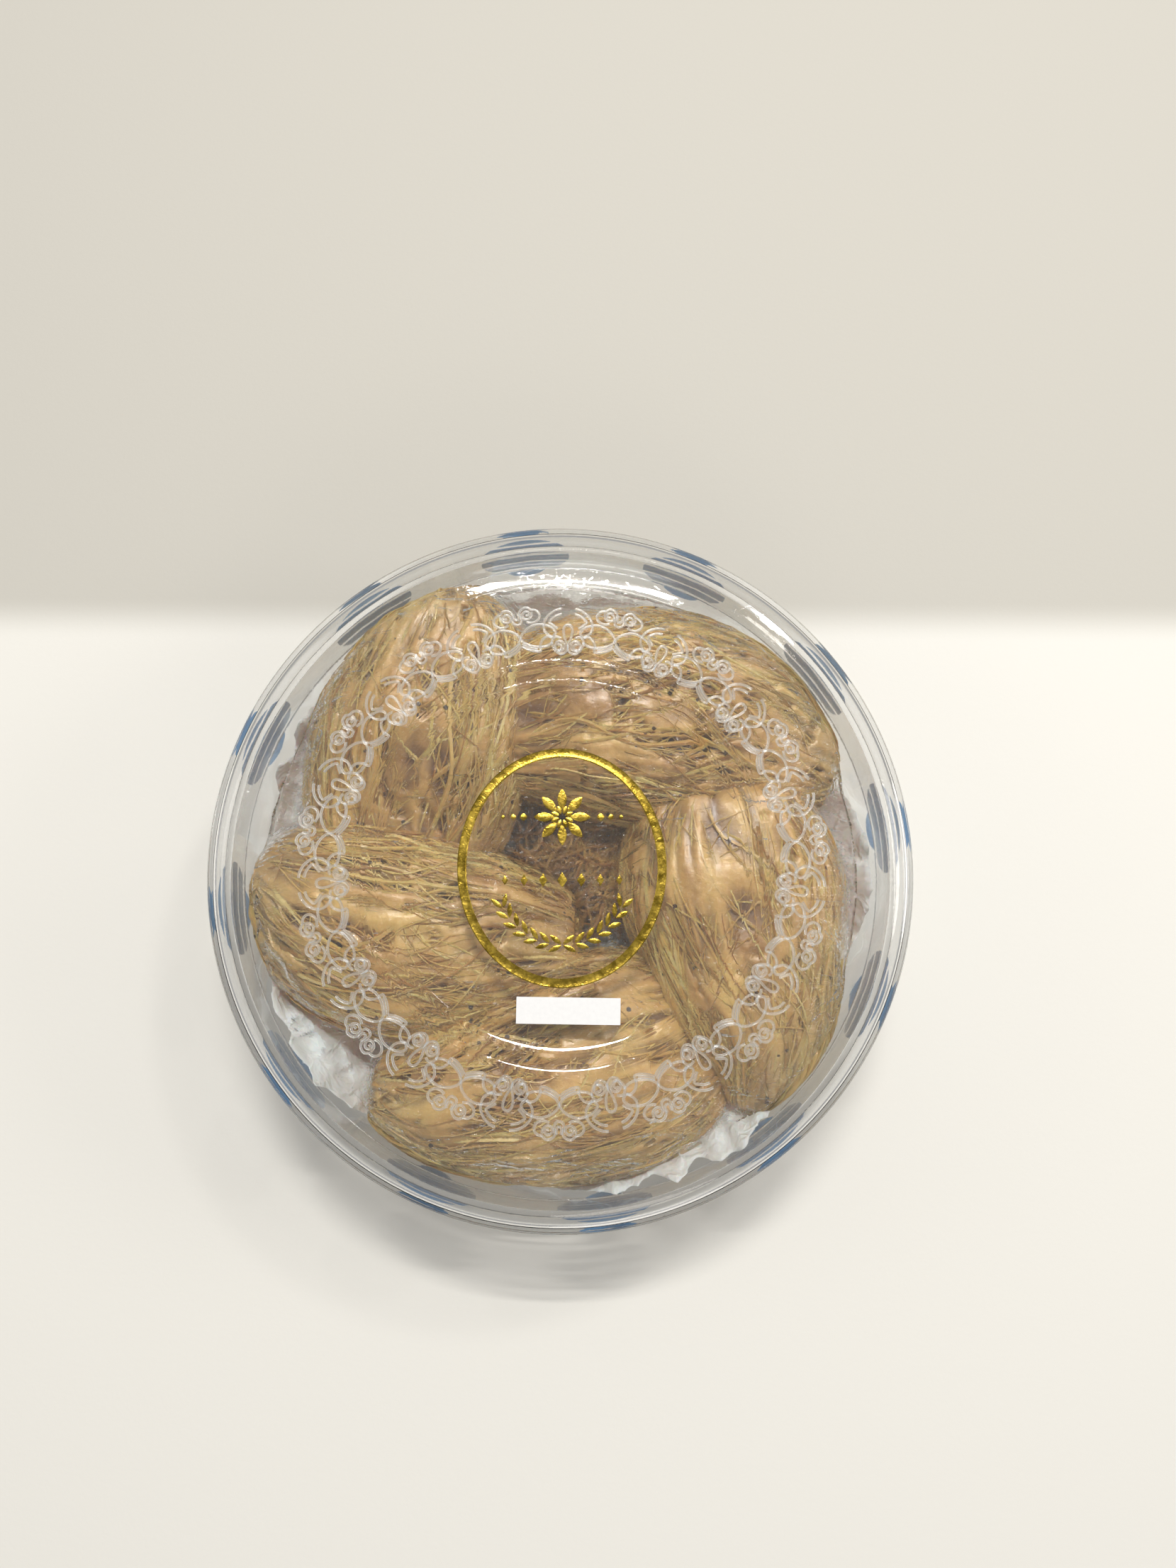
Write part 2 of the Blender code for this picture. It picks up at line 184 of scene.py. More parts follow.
def ramped(tree, mask, first, last, between=()):
    """Colours along a mask. Those between come with their positions."""
    ramp = add_node(tree, "ShaderNodeValToRGB", sources={"Fac": mask})
    ramp.color_ramp.elements[0].color = (*first, 1.0)
    ramp.color_ramp.elements[1].color = (*last, 1.0)
    for position, color in between:
        ramp.color_ramp.elements.new(position).color = (*color, 1.0)
    return ramp, "Color"


def mixed_color(tree, factor, first, second):
    """Two colours, each a pair or three numbers, mixed by a factor."""
    first, second = (color if len(color) == 2 else (*color, 1.0) for color in (first, second))
    sources = {"Factor": factor, "A": first, "B": second}
    return add_node(tree, "ShaderNodeMix", {"data_type": "RGBA"}, sources), "Result"


def add_bump(tree, shader, height, strength, distance):
    """Turn a height into small relief on the shader."""
    sources = {"Strength": strength, "Distance": distance, "Height": height}
    feed(tree, shader, "Normal", (add_node(tree, "ShaderNodeBump", sources=sources), "Normal"))


def object_place(tree):
    return add_node(tree, "ShaderNodeTexCoord"), "Object"


# %% [markdown]
# ## Shared effects as node groups
# Three effects come back in several materials: a blotchy change of tone, fine creases that
# catch the light, and tiny specks. Each is a node group with named inputs, made once. A group
# here puts out only a mask or a height, and the shader stays in the material.

# %% Shader groups
SPECK_REACH = 0.28


def new_group(name, inputs, output):
    """A group with a Vector input, float inputs with their defaults, and one float output."""
    group = bpy.data.node_groups.new(name, "ShaderNodeTree")
    group.interface.new_socket("Vector", in_out="INPUT", socket_type="NodeSocketVector")
    for key, value in inputs.items():
        socket = group.interface.new_socket(key, in_out="INPUT", socket_type="NodeSocketFloat")
        socket.default_value = value
    group.interface.new_socket(output, in_out="OUTPUT", socket_type="NodeSocketFloat")
    start = group.nodes.new("NodeGroupInput")
    place = {"Vector": (start, "Vector"), "Scale": (start, "Scale")}
    return group, start, group.nodes.new("NodeGroupOutput"), place


def make_blotch_group():
    """A soft mask of cloudy patches, from 0 to 1."""
    group, start, end, place = new_group("blotches", {"Scale": 60.0, "Contrast": 1.0}, "Mask")
    cloud = add_node(group, "ShaderNodeTexNoise", sources={"Detail": 4.0, "Roughness": 0.6, **place})
    centre = math_of(group, "SUBTRACT", (cloud, "Fac"), 0.5)
    spread = math_of(group, "MULTIPLY_ADD", centre, (start, "Contrast"), 0.5, clamp=True)
    feed(group, end, "Mask", spread)
    return group


def make_crease_group():
    """A height of thin ridges, as in crumpled film or paper."""
    group, start, end, place = new_group("creases", {"Scale": 90.0, "Sharpness": 6.0}, "Height")
    cloud = add_node(group, "ShaderNodeTexNoise", sources={"Detail": 3.0, "Distortion": 0.6, **place})
    centre = math_of(group, "SUBTRACT", (cloud, "Fac"), 0.5)
    fold = math_of(group, "ABSOLUTE", centre)
    scaled = math_of(group, "MULTIPLY", fold, (start, "Sharpness"))
    feed(group, end, "Height", math_of(group, "SUBTRACT", 1.0, scaled, clamp=True))
    return group


def make_speck_group():
    """A mask of small round specks, from 0 to 1."""
    group, start, end, place = new_group("specks", {"Scale": 400.0, "Amount": 0.1}, "Mask")
    cells = add_node(group, "ShaderNodeTexVoronoi", {"feature": "F1"}, place)
    near = math_of(group, "LESS_THAN", (cells, "Distance"), SPECK_REACH)
    chosen = add_node(group, "ShaderNodeSeparateColor", sources={"Color": (cells, "Color")})
    few = math_of(group, "LESS_THAN", (chosen, "Red"), (start, "Amount"))
    feed(group, end, "Mask", math_of(group, "MULTIPLY", near, few))
    return group


BLOTCHES = make_blotch_group()
CREASES = make_crease_group()
SPECKS = make_speck_group()


def use_group(tree, group, place, **values):
    """Place a group in a material, feed it, and give back its one output."""
    node = tree.nodes.new("ShaderNodeGroup")
    node.node_tree = group
    for key, value in {"Vector": place, **values}.items():
        feed(tree, node, key, value)
    return node, node.outputs[0].name


print("groups", [group.name for group in bpy.data.node_groups])

# %% [markdown]
# ## Clear materials
# Crystal polystyrene bends light more than window glass, with an IOR of about 1.58. Light that
# has to pass through two clear walls makes dark, noisy shadows in a path tracer, so the shader
# is mixed with a transparent one for rays from lamps and rough surfaces, and for rays that have
# run inside a wall for many turns, where plastic scatters light and never looks black. The same
# build makes the clear film, with its creases. The sealing tape is thin and lies flat, so its
# see-through parts are plain alpha round the blue prints.

# %% Clear plastic, film and tape
PLASTIC_IOR = 1.58
FILM_IOR = 1.45
TURNS_IN_A_WALL = 6.5
TAPE_PRINTS = 12
TAPE_PRINT_HALF_WIDTH = 0.27
TAPE_PRINT_HALF_HEIGHT = 0.40
STREAK_WIDTH = 0.16
PRINT_ALPHA = 0.58
BARE_ALPHA = 0.02


def let_lamps_through(material, tree, shader, held_back):
    """Rays from lamps and between rough things pass straight through the clear material. Those
    from lamps are held back where they meet it at a slant, which gives it its shadow."""
    path = add_node(tree, "ShaderNodeLightPath")
    slant = add_node(tree, "ShaderNodeLayerWeight", sources={"Blend": 0.5})
    lamp_slant = math_of(tree, "MULTIPLY", (slant, "Facing"), (path, "Is Shadow Ray"))
    passed = ranged(tree, lamp_slant, To_Min=0.99, To_Max=1 - held_back)
    clear = add_node(tree, "ShaderNodeBsdfTransparent", sources={"Color": passed})
    soft = math_of(tree, "MAXIMUM", (path, "Is Shadow Ray"), (path, "Is Diffuse Ray"))
    trapped = math_of(tree, "GREATER_THAN", (path, "Ray Depth"), TURNS_IN_A_WALL)
    straight = math_of(tree, "MAXIMUM", soft, trapped)
    sources = {0: straight, 1: (shader, "BSDF"), 2: (clear, "BSDF")}
    mix = add_node(tree, "ShaderNodeMixShader", sources=sources)
    feed(tree, tree.nodes["Material Output"], "Surface", (mix, "Shader"))
    return material


def make_clear_plastic():
    """Moulded crystal plastic, with the faint waves and hairline scratches of a thin moulding."""
    material, tree, shader = new_material("clear_plastic", Base_Color=(0.985, 0.987, 0.985, 1.0),
                                          Roughness=0.02, IOR=PLASTIC_IOR, Transmission_Weight=1.0)
    place = object_place(tree)
    waves = add_node(tree, "ShaderNodeTexNoise", sources={"Scale": 28.0, "Detail": 1.0, "Vector": place})
    scratches = use_group(tree, CREASES, place, Scale=260.0, Sharpness=60.0)
    height = math_of(tree, "MULTIPLY_ADD", scratches, 0.05, (waves, "Fac"))
    add_bump(tree, shader, height, 0.05, 0.0006)
    return let_lamps_through(material, tree, shader, 0.55)


def make_film_material():
    """Thin cling film: almost invisible where it is flat, bright where it is creased."""
    material, tree, shader = new_material("cling_film", Base_Color=(0.99, 0.99, 0.988, 1.0),
                                          Roughness=0.05, IOR=FILM_IOR, Transmission_Weight=1.0)
    turned = {"Scale": (1.0, 2.2, 1.0), "Rotation": (0, 0, 0.6), "Vector": object_place(tree)}
    place = add_node(tree, "ShaderNodeMapping", sources=turned), "Vector"
    coarse = use_group(tree, CREASES, place, Scale=70.0, Sharpness=9.0)
    fine = use_group(tree, CREASES, place, Scale=230.0, Sharpness=7.0)
    height = math_of(tree, "MULTIPLY_ADD", fine, 0.22, coarse)
    add_bump(tree, shader, height, 0.65, 0.0010)
    return let_lamps_through(material, tree, shader, 0.10)


def make_tape_material():
    """Clear tape with a row of plain blue ovals, each crossed by pale streaks. The piece's UV map
    counts the prints along the strip and runs from 0 to 1 across it."""
    material, tree, shader = new_material("seal_tape", Base_Color=(0.07, 0.38, 0.80, 1.0),
                                          Roughness=0.12, IOR=FILM_IOR)
    place = add_node(tree, "ShaderNodeUVMap", {"uv_map": "strip"}), "UV"
    split = add_node(tree, "ShaderNodeSeparateXYZ", sources={"Vector": place})
    along = math_of(tree, "FRACT", (split, "X"))
    parts = [math_of(tree, "DIVIDE", math_of(tree, "SUBTRACT", spot, 0.5), half)
             for spot, half in ((along, TAPE_PRINT_HALF_WIDTH), ((split, "Y"), TAPE_PRINT_HALF_HEIGHT))]
    pair = add_node(tree, "ShaderNodeCombineXYZ", sources={"X": parts[0], "Y": parts[1]})
    reach = add_node(tree, "ShaderNodeVectorMath", {"operation": "LENGTH"}, {0: (pair, "Vector")})
    inside = math_of(tree, "LESS_THAN", (reach, "Value"), 1.0)
    wavy = {"Scale": 1.6, "Distortion": 1.2, "Detail": 2.0, "Detail Scale": 3.0, "Vector": place}
    streak = add_node(tree, "ShaderNodeTexWave", {"bands_direction": "Y"}, wavy)
    inked = math_of(tree, "GREATER_THAN", (streak, "Fac"), STREAK_WIDTH)
    mask = math_of(tree, "MULTIPLY", inside, inked)
    feed(tree, shader, "Alpha", math_of(tree, "MULTIPLY_ADD", mask, PRINT_ALPHA, BARE_ALPHA))
    return material


def make_scroll_plastic():
    """Raised lines of the plastic, a little milky: a painted sheen for the glints of their curves."""
    # Transmission below one makes the lines partly white: painted sheen.
    parts = new_material("scroll_plastic", Base_Color=(0.96, 0.96, 0.95, 1.0), Roughness=0.10,
                         IOR=PLASTIC_IOR, Transmission_Weight=0.90)
    return let_lamps_through(*parts, 0.2)


CLEAR_PLASTIC = make_clear_plastic()
SCROLL_PLASTIC = make_scroll_plastic()
FILM_CLEAR = make_film_material()
TAPE_CLEAR = make_tape_material()
print("clear materials made")

# %% [markdown]
# ## Gold foil, paper and tissue
# The foil is a thin metal, so its look is all reflection: a yellow metal with fine streaks in
# its roughness. Paper and tissue scatter light, so they are rough and white, with fibres in the
# paper and sharp creases in the tissue. The tissue is paler along the ridges of its creases,
# which is a painted highlight.

# %% Gold, paper and tissue


def make_gold_foil():
    material, tree, shader = new_material("gold_foil", Metallic=1.0)
    place = object_place(tree)
    blotch = use_group(tree, BLOTCHES, place, Scale=500.0, Contrast=2.2)
    feed(tree, shader, "Base Color", ramped(tree, blotch, (0.22, 0.14, 0.012), (0.64, 0.45, 0.075)))
    feed(tree, shader, "Roughness", ranged(tree, blotch, To_Min=0.16, To_Max=0.38))
    add_bump(tree, shader, use_group(tree, CREASES, place, Scale=700.0, Sharpness=5.0), 0.3, 0.0001)
    return material


def make_white_paper():
    material, tree, shader = new_material("label_paper", Roughness=0.62)
    blotch = use_group(tree, BLOTCHES, object_place(tree), Scale=900.0, Contrast=1.2)
    feed(tree, shader, "Base Color", ramped(tree, blotch, (0.83, 0.83, 0.84), (0.93, 0.93, 0.93)))
    add_bump(tree, shader, blotch, 0.25, 0.00005)
    return material


def make_tissue_material():
    material, tree, shader = new_material("tissue_paper", Roughness=0.85, Subsurface_Weight=0.25,
                                          Subsurface_Scale=0.002)
    crease_height_and_highlight = use_group(tree, CREASES, object_place(tree), Scale=120.0, Sharpness=8.0)
    # Painted highlight: paler along the crease ridges, darker between them.
    feed(tree, shader, "Base Color", ramped(tree, crease_height_and_highlight, (0.88, 0.875, 0.86), (0.97, 0.965, 0.95)))
    add_bump(tree, shader, crease_height_and_highlight, 0.6, 0.0006)
    return material


GOLD_FOIL = make_gold_foil()
WHITE_PAPER = make_white_paper()
TISSUE = make_tissue_material()
print("opaque materials made")

# %% [markdown]
# ## The nest material
# The strands are dried saliva of the swiftlet, which sets to something like horn: tan, half
# clear and half glossy. They are yellow in some streaks, and grey-green at the feet by which the
# nest held to the rock. Painted shade makes them browner in the pores, in the valleys between
# bundles and on the hollow underside, and lighter where they stand proud. This painted shade
# and a random tone come from two attributes that the meshes carry, and the feet are found by
# their distance from the axis of the box.

# %% Nest material
FOOT_START_RADIUS = 0.066
FOOT_FULL_RADIUS = 0.086
FOOT_SHARE = 0.62
NEST_DARKEST = (0.16, 0.072, 0.018)
NEST_PALEST = (0.94, 0.67, 0.28)
NEST_BETWEEN = [(0.30, (0.40, 0.205, 0.054)), (0.58, (0.66, 0.395, 0.128)), (0.80, (0.77, 0.505, 0.160))]
# Painted shade: the colour of the pores, the valleys between bundles and the hollow underside.
PORE_SHADE_COLOR = (0.15, 0.066, 0.022)
FOOT_COLOR = (0.30, 0.235, 0.10)
SPECK_COLOR = (0.06, 0.035, 0.02)
CLOUD_SHARE = 0.45
GRAIN_SHARE = 0.30


def make_nest_material():
    material, tree, shader = new_material("nest_strands", IOR=1.5, Subsurface_Weight=0.30,
                                          Subsurface_Scale=0.003, Coat_Weight=0.25, Coat_Roughness=0.18)
    place = object_place(tree)
    # The depth attribute holds painted shade, and the tone attribute a random tone.
    tone, depth = ((add_node(tree, "ShaderNodeAttribute", {"attribute_name": name}), "Fac")
                   for name in ("tone", "depth"))
    cloud = use_group(tree, BLOTCHES, place, Scale=55.0, Contrast=1.7)
    grain = use_group(tree, BLOTCHES, place, Scale=620.0, Contrast=1.6)
    blend = math_of(tree, "MULTIPLY_ADD", cloud, CLOUD_SHARE, tone)
    finer = math_of(tree, "MULTIPLY_ADD", grain, GRAIN_SHARE, blend)
    share = ranged(tree, finer, From_Min=0.10, From_Max=1.35)
    strands = ramped(tree, share, NEST_DARKEST, NEST_PALEST, NEST_BETWEEN)
    # Painted shade: browner where the depth attribute is high.
    with_pore_shade = mixed_color(tree, depth, strands, PORE_SHADE_COLOR)
    sources = {0: place, 1: (1.0, 1.0, 0.0)}
    flat = add_node(tree, "ShaderNodeVectorMath", {"operation": "MULTIPLY"}, sources)
    reach = add_node(tree, "ShaderNodeVectorMath", {"operation": "LENGTH"}, {0: (flat, "Vector")})
    outer = ranged(tree, (reach, "Value"), From_Min=FOOT_START_RADIUS, From_Max=FOOT_FULL_RADIUS,
                   To_Max=FOOT_SHARE)
    with_feet = mixed_color(tree, outer, with_pore_shade, FOOT_COLOR)
    specks = use_group(tree, SPECKS, place, Scale=420.0, Amount=0.035)
    feed(tree, shader, "Base Color", mixed_color(tree, specks, with_feet, SPECK_COLOR))
    feed(tree, shader, "Roughness", ranged(tree, grain, To_Min=0.28, To_Max=0.55))
    add_bump(tree, shader, grain, 0.5, 0.0003)
    return material


NEST_MATERIAL = make_nest_material()
print("nest material made")

# %% [markdown]
# ## The lid
# The lid is a turned form: a sunk disc, a flat ring, a rounded shoulder and a skirt. A profile
# spun round the axis gives it in one step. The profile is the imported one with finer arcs, and
# with the small nub at the centre where the plastic was let into the mould.

# %% Lid and tray
WALL = 0.0018
SEAM_GAP = 0.0003
SUNK_DISC_RADIUS = 0.046
SUNK_RIM_RADIUS = 0.051
SUNK_DEPTH = 0.0012
STEP_REACH = 0.0009
BEAD_WIDTH = 0.0008
BEAD_HEIGHT = 0.00004
STEP_SHARE = 0.33
STEP_POINTS = 8
FLAT_TOP_RADIUS = 0.067
SHOULDER_DROP = 0.0040
SHOULDER_POWER = 2.4
SKIRT_LENGTH = 0.0215
NUB_RADIUS = 0.0007
NUB_HEIGHT = 0.00035
TRAY_RADIUS = LID_RADIUS - WALL - SEAM_GAP
TRAY_RIM_Z = 0.0418
TRAY_HEEL_Z = 0.014
TRAY_TAPER = 0.0018
FOOT_OUTER = 0.076
FOOT_INNER = 0.071
FOOT_DEPTH = 0.0008
EDGE_ROUND = 0.0004
SHOULDER_STEPS = 20
HEEL_STEPS = 12
SPIN_STEPS = 180
EDGE_STEPS = 4
SUPPORT_REACH = 0.0003


def corner(start, end, power, steps, outward_first):
    """Points of a rounded corner from start to end, both (radius, height), without the first."""
    points = []
    for index in range(1, steps + 1):
        angle = math.pi / 2 * index / steps
        along = math.sin(angle) ** (2 / power)
        across = 1 - math.cos(angle) ** (2 / power)
        if not outward_first:
            along, across = across, along
        points.append((start[0] + (end[0] - start[0]) * along, start[1] + (end[1] - start[1]) * across))
    return points


def double_step(start, end, reach, share):
    """A gentle slope between two flats, with a small steep step and a low bead at each end."""
    rise = (end[1] - start[1]) * share
    points = []
    for middle, low in ((start[0], start[1]), (end[0], end[1] - rise)):
        for index in range(STEP_POINTS + 1):
            part = index / STEP_POINTS
            ease = part * part * (3 - 2 * part)
            points.append((middle + reach * (2 * part - 1), low + rise * ease))
        for index in range(1, STEP_POINTS + 1):
            part = index / STEP_POINTS
            bead = BEAD_HEIGHT * math.sin(math.pi * part) ** 2
            points.append((middle + reach + BEAD_WIDTH * part, low + rise + bead))
    return points


def with_supports(profile):
    """Add points near both ends of each long straight run. Smooth shading then bends the light
    only at the roundings, and a flat wall stays as clear as a window."""
    points = [profile[0]]
    for start, end in zip(profile, profile[1:]):
        length = math.dist(start, end)
        if length > 4 * SUPPORT_REACH:
            for share in (SUPPORT_REACH / length, 1 - SUPPORT_REACH / length):
                points.append(tuple(a + (b - a) * share for a, b in zip(start, end)))
        points.append(end)
    return points


def spin_profile(name, profile):
    """Spin a profile that starts and ends on the axis into a closed mesh."""
    profile = with_supports(profile)
    bm = bmesh.new()
    verts = [bm.verts.new((radius, 0, height)) for radius, height in profile]
    edges = [bm.edges.new(pair) for pair in zip(verts, verts[1:])]
    bmesh.ops.spin(bm, geom=verts + edges, axis=(0, 0, 1), cent=(0, 0, 0), angle=math.tau,
                   steps=SPIN_STEPS, use_merge=True)
    bmesh.ops.remove_doubles(bm, verts=bm.verts, dist=1e-6)
    return mesh_from(bm, name)


def lid_side(inset):
    """One side of the lid's wall, from the edge of the sunk disc to the end of the skirt."""
    top = BOX_HEIGHT - inset
    points = double_step((SUNK_DISC_RADIUS, top - SUNK_DEPTH), (SUNK_RIM_RADIUS, top), STEP_REACH,
                         STEP_SHARE)
    points.append((FLAT_TOP_RADIUS, top))
    points += corner(points[-1], (LID_RADIUS - inset, top - SHOULDER_DROP), SHOULDER_POWER,
                     SHOULDER_STEPS, True)
    return points


def make_lid():
    disc = BOX_HEIGHT - SUNK_DEPTH
    nub = [(0, disc + NUB_HEIGHT), (NUB_RADIUS * 0.7, disc + NUB_HEIGHT), (NUB_RADIUS, disc)]
    bottom = BOX_HEIGHT - SHOULDER_DROP - SKIRT_LENGTH
    outer_end = (LID_RADIUS, bottom + EDGE_ROUND)
    edge = [outer_end] + corner(outer_end, (LID_RADIUS - EDGE_ROUND, bottom), 2.0, EDGE_STEPS, False)
    edge.append((LID_RADIUS - WALL, bottom))
    inner = lid_side(WALL)[::-1]
    profile = nub + lid_side(0) + edge + inner + [(0, disc - WALL)]
    return keep_piece("clear_lid", spin_profile("clear_lid", profile), CLEAR_PLASTIC,
                      ("box_lid",), smooth_deg=30)


def tray_side(inset):
    """One side of the tray's wall, from the rim down to the foot."""
    heel = (TRAY_RADIUS - TRAY_TAPER - inset, TRAY_HEEL_Z)
    return [heel] + corner(heel, (FOOT_OUTER - inset, inset), 2.0, HEEL_STEPS, False)


def make_tray():
    rim_out, rim_in = TRAY_RADIUS, TRAY_RADIUS - WALL
    rim = [(rim_in, TRAY_RIM_Z - EDGE_ROUND)]
    rim += corner(rim[0], (rim_in + EDGE_ROUND, TRAY_RIM_Z), 2.0, EDGE_STEPS, False)
    rim.append((rim_out - EDGE_ROUND, TRAY_RIM_Z))
    rim += corner(rim[-1], (rim_out, TRAY_RIM_Z - EDGE_ROUND), 2.0, EDGE_STEPS, True)
    floor_z = WALL + FOOT_DEPTH
    inside = [point for point in tray_side(WALL)[::-1] if point[1] > floor_z]
    outside = tray_side(0)
    foot = [(FOOT_INNER, 0), (FOOT_INNER - FOOT_DEPTH, FOOT_DEPTH), (0, FOOT_DEPTH)]
    profile = [(0, floor_z), (FOOT_INNER - FOOT_DEPTH, floor_z)] + inside + rim + outside + foot
    return keep_piece("clear_tray", spin_profile("clear_tray", profile), CLEAR_PLASTIC,
                      ("box_tray",), smooth_deg=30)


make_lid()
make_tray()

# %% [markdown]
# ## The scroll ornament on the lid
# A ring of moulded scrolls stands on the flat part of the lid. Its motif is drawn once, as half
# a motif in millimetres: how far round from the middle, and how far from the axis. Each stroke
# is mirrored, bent round the lid and repeated fifteen times. A flat section with two crests is
# its bevel, so each raised line has a bright edge on either side.

# %% Scroll ornament
MOTIFS = 15
MOTIF_START_DEG = 88.9
MOTIF_ARC_RADIUS = 60.0
RIDGE_SECTION = [(-0.34, 0.0), (-0.32, 0.18), (-0.25, 0.25), (-0.16, 0.10), (0.16, 0.10), (0.25, 0.25),
                 (0.32, 0.18), (0.34, 0.0)]
LINE_LIFT = 0.00002
STROKE_DETAIL = 3
SCROLL_STROKES = [
    # the long loop and the curl that grows from its foot
    [(0.0, 61.8), (0.75, 61.5), (1.15, 60.4), (0.95, 58.6), (0.25, 56.6), (0.15, 55.2), (0.95, 54.2),
     (2.1, 53.95), (3.2, 54.6)],
    [(2.8, 54.75), (1.6, 54.85), (0.95, 55.7), (1.05, 56.8), (2.0, 57.4), (3.1, 57.0), (3.45, 55.9),
     (2.9, 55.0), (2.0, 55.2), (1.7, 56.1), (2.3, 56.6), (2.8, 56.2)],
    # the hood over the curl
    [(1.9, 58.15), (2.9, 58.6), (3.9, 58.2), (4.25, 57.0), (3.9, 55.7), (3.2, 54.6)],
    # the lower leaf
    [(4.3, 58.4), (5.4, 58.8), (6.6, 58.2), (7.3, 57.2), (7.7, 56.1)],
    [(4.2, 57.2), (4.8, 56.7), (5.8, 56.25), (7.6, 56.05)],
    # the upper leaf
    [(4.2, 58.5), (3.3, 59.4), (3.4, 60.3), (4.4, 61.3), (6.2, 62.0)],
    [(4.2, 58.5), (5.3, 59.3), (6.1, 60.5), (6.2, 62.0)],
    # the pair of lines that opens outwards
    [(1.6, 66.1), (3.0, 65.75), (4.6, 64.7), (5.7, 63.3), (6.2, 62.0)],
    [(1.6, 64.7), (2.9, 64.3), (4.1, 63.4), (4.65, 62.6), (3.9, 61.8), (2.7, 60.75)],
    # the wide oval, double along its inner side
    [(6.3, 62.05), (8.2, 62.2), (10.2, 61.5), (11.8, 60.3), (12.45, 58.9), (11.6, 57.6), (9.8, 56.6),
     (7.7, 56.1)],
    [(12.5, 56.95), (11.2, 55.95), (9.5, 55.2), (7.9, 54.95), (7.5, 55.3), (7.7, 56.0)],
    [(12.3, 57.6), (11.0, 56.6), (9.6, 55.95), (8.3, 55.6)],
    # the outer rosette
    [(10.3, 63.2), (9.2, 62.8), (8.0, 63.05), (7.1, 64.0), (7.05, 65.2), (7.9, 66.15), (9.0, 66.3)],
    [(8.9, 66.3), (9.7, 67.1), (10.9, 66.9), (11.7, 65.9), (11.5, 64.4), (11.7, 63.2), (12.56, 62.75)],
    [(8.8, 65.8), (9.0, 64.6), (9.9, 63.9), (10.9, 64.2), (11.1, 65.2), (10.4, 66.0), (9.5, 65.7),
     (9.6, 64.9), (10.3, 64.9)],
    [(12.1, 65.9), (12.0, 64.6), (12.56, 63.9)],
]


def spline_through(points, detail):
    """Points on a Catmull-Rom curve through the given ones."""
    padded = [points[0]] + list(points) + [points[-1]]
    curve = []
    for before, left, right, after in zip(padded, padded[1:], padded[2:], padded[3:]):
        for step in range(detail):
            part = step / detail
            curve.append(tuple(
                b + 0.5 * part * (c - a + part * (2 * a - 5 * b + 4 * c - d + part * (3 * (b - c) + d - a)))
                for a, b, c, d in zip(before, left, right, after)
            ))
    curve.append(tuple(points[-1]))
    return curve


def bent_round(point, side, motif):
    """Take a motif point in millimetres to its place on the lid."""
    turn = math.radians(MOTIF_START_DEG - 360 / MOTIFS * motif) - side * point[0] / MOTIF_ARC_RADIUS
    radius = point[1] * 0.001
    height = BOX_HEIGHT + LINE_LIFT
    return Vector((radius * math.cos(turn), radius * math.sin(turn), height))


def add_spline(curve, points, radii=None):
    spline = curve.splines.new("POLY")
    spline.points.add(len(points) - 1)
    for index, point in enumerate(points):
        spline.points[index].co = (*point, 1.0)
        spline.points[index].radius = radii[index] if radii else 1.0
    return spline


def bevelled_curve(name, depth, resolution):
    curve = bpy.data.curves.new(name, "CURVE")
    curve.dimensions = "3D"
    curve.bevel_depth = depth
    curve.bevel_resolution = resolution
    curve.use_fill_caps = True
    return curve


def make_scrolls():
    section = bpy.data.curves.new("ridge_section", "CURVE")
    add_spline(section, [(x * 0.001, y * 0.001, 0.0) for x, y in RIDGE_SECTION]).use_cyclic_u = True
    section_holder = bpy.data.objects.new("ridge_section", section)
    bpy.context.scene.collection.objects.link(section_holder)
    curve = bevelled_curve("lid_scrolls", 0.0, 0)
    curve.bevel_mode = "OBJECT"
    curve.bevel_object = section_holder
    curve.twist_mode = "Z_UP"
    for motif in range(MOTIFS):
        for stroke in SCROLL_STROKES:
            fine = spline_through(stroke, STROKE_DETAIL)
            for side in (1, -1):
                add_spline(curve, [bent_round(point, side, motif) for point in fine])
    mesh = mesh_from_curve(curve, "lid_scrolls")
    bpy.data.objects.remove(section_holder, do_unlink=True)
    heights = [vert.co.z - BOX_HEIGHT for vert in mesh.vertices]
    print("scroll heights in mm", round(min(heights) * 1000, 3), round(max(heights) * 1000, 3))
    return keep_piece("lid_scrolls", mesh, SCROLL_PLASTIC, smooth_deg=60)


make_scrolls()

# %% [markdown]
# ## The gold oval
# A plain gold oval is stamped on the sunk disc. Its band is a low ring with a rounded top, made
# from a circle that is widened, bridged and scaled to an oval. Inside it stands a plain
# ornament of foil: a rosette, a row of lozenges and two sprigs of leaves.

# %% Gold foil
FOIL_CENTRE = Vector((-0.0004, -0.0010, 0.0))
FOIL_Z = BOX_HEIGHT - SUNK_DEPTH
OVAL_HALF_WIDTH = 0.0264
OVAL_HALF_HEIGHT = 0.0302
BAND_WIDTH = 0.0023
FOIL_THICKNESS = 0.00022
FOIL_GAP = 0.00003
OVAL_STEPS = 144


def add_oval_band(bm, half_width, half_height, band):
    """A closed ring with a low domed top, as an oval."""
    rows = []
    for share, lift in ((0.0, 0.0), (0.12, 1.0), (0.3, 0.72), (0.7, 0.72), (0.88, 1.0), (1.0, 0.0)):
        circle = bmesh.ops.create_circle(bm, segments=OVAL_STEPS, radius=1.0)["verts"]
        wide, high = half_width - band * share, half_height - band * share
        bmesh.ops.scale(bm, vec=(wide, high, 1.0), verts=circle)
        bmesh.ops.translate(bm, vec=(0, 0, FOIL_THICKNESS * lift), verts=circle)
        rows.append(circle)
    for row, following in zip(rows, rows[1:] + rows[:1]):
        edges = [edge for edge in bm.edges
                 if (edge.verts[0] in row and edge.verts[1] in row)
                 or (edge.verts[0] in following and edge.verts[1] in following)]
        bmesh.ops.bridge_loops(bm, edges=edges)


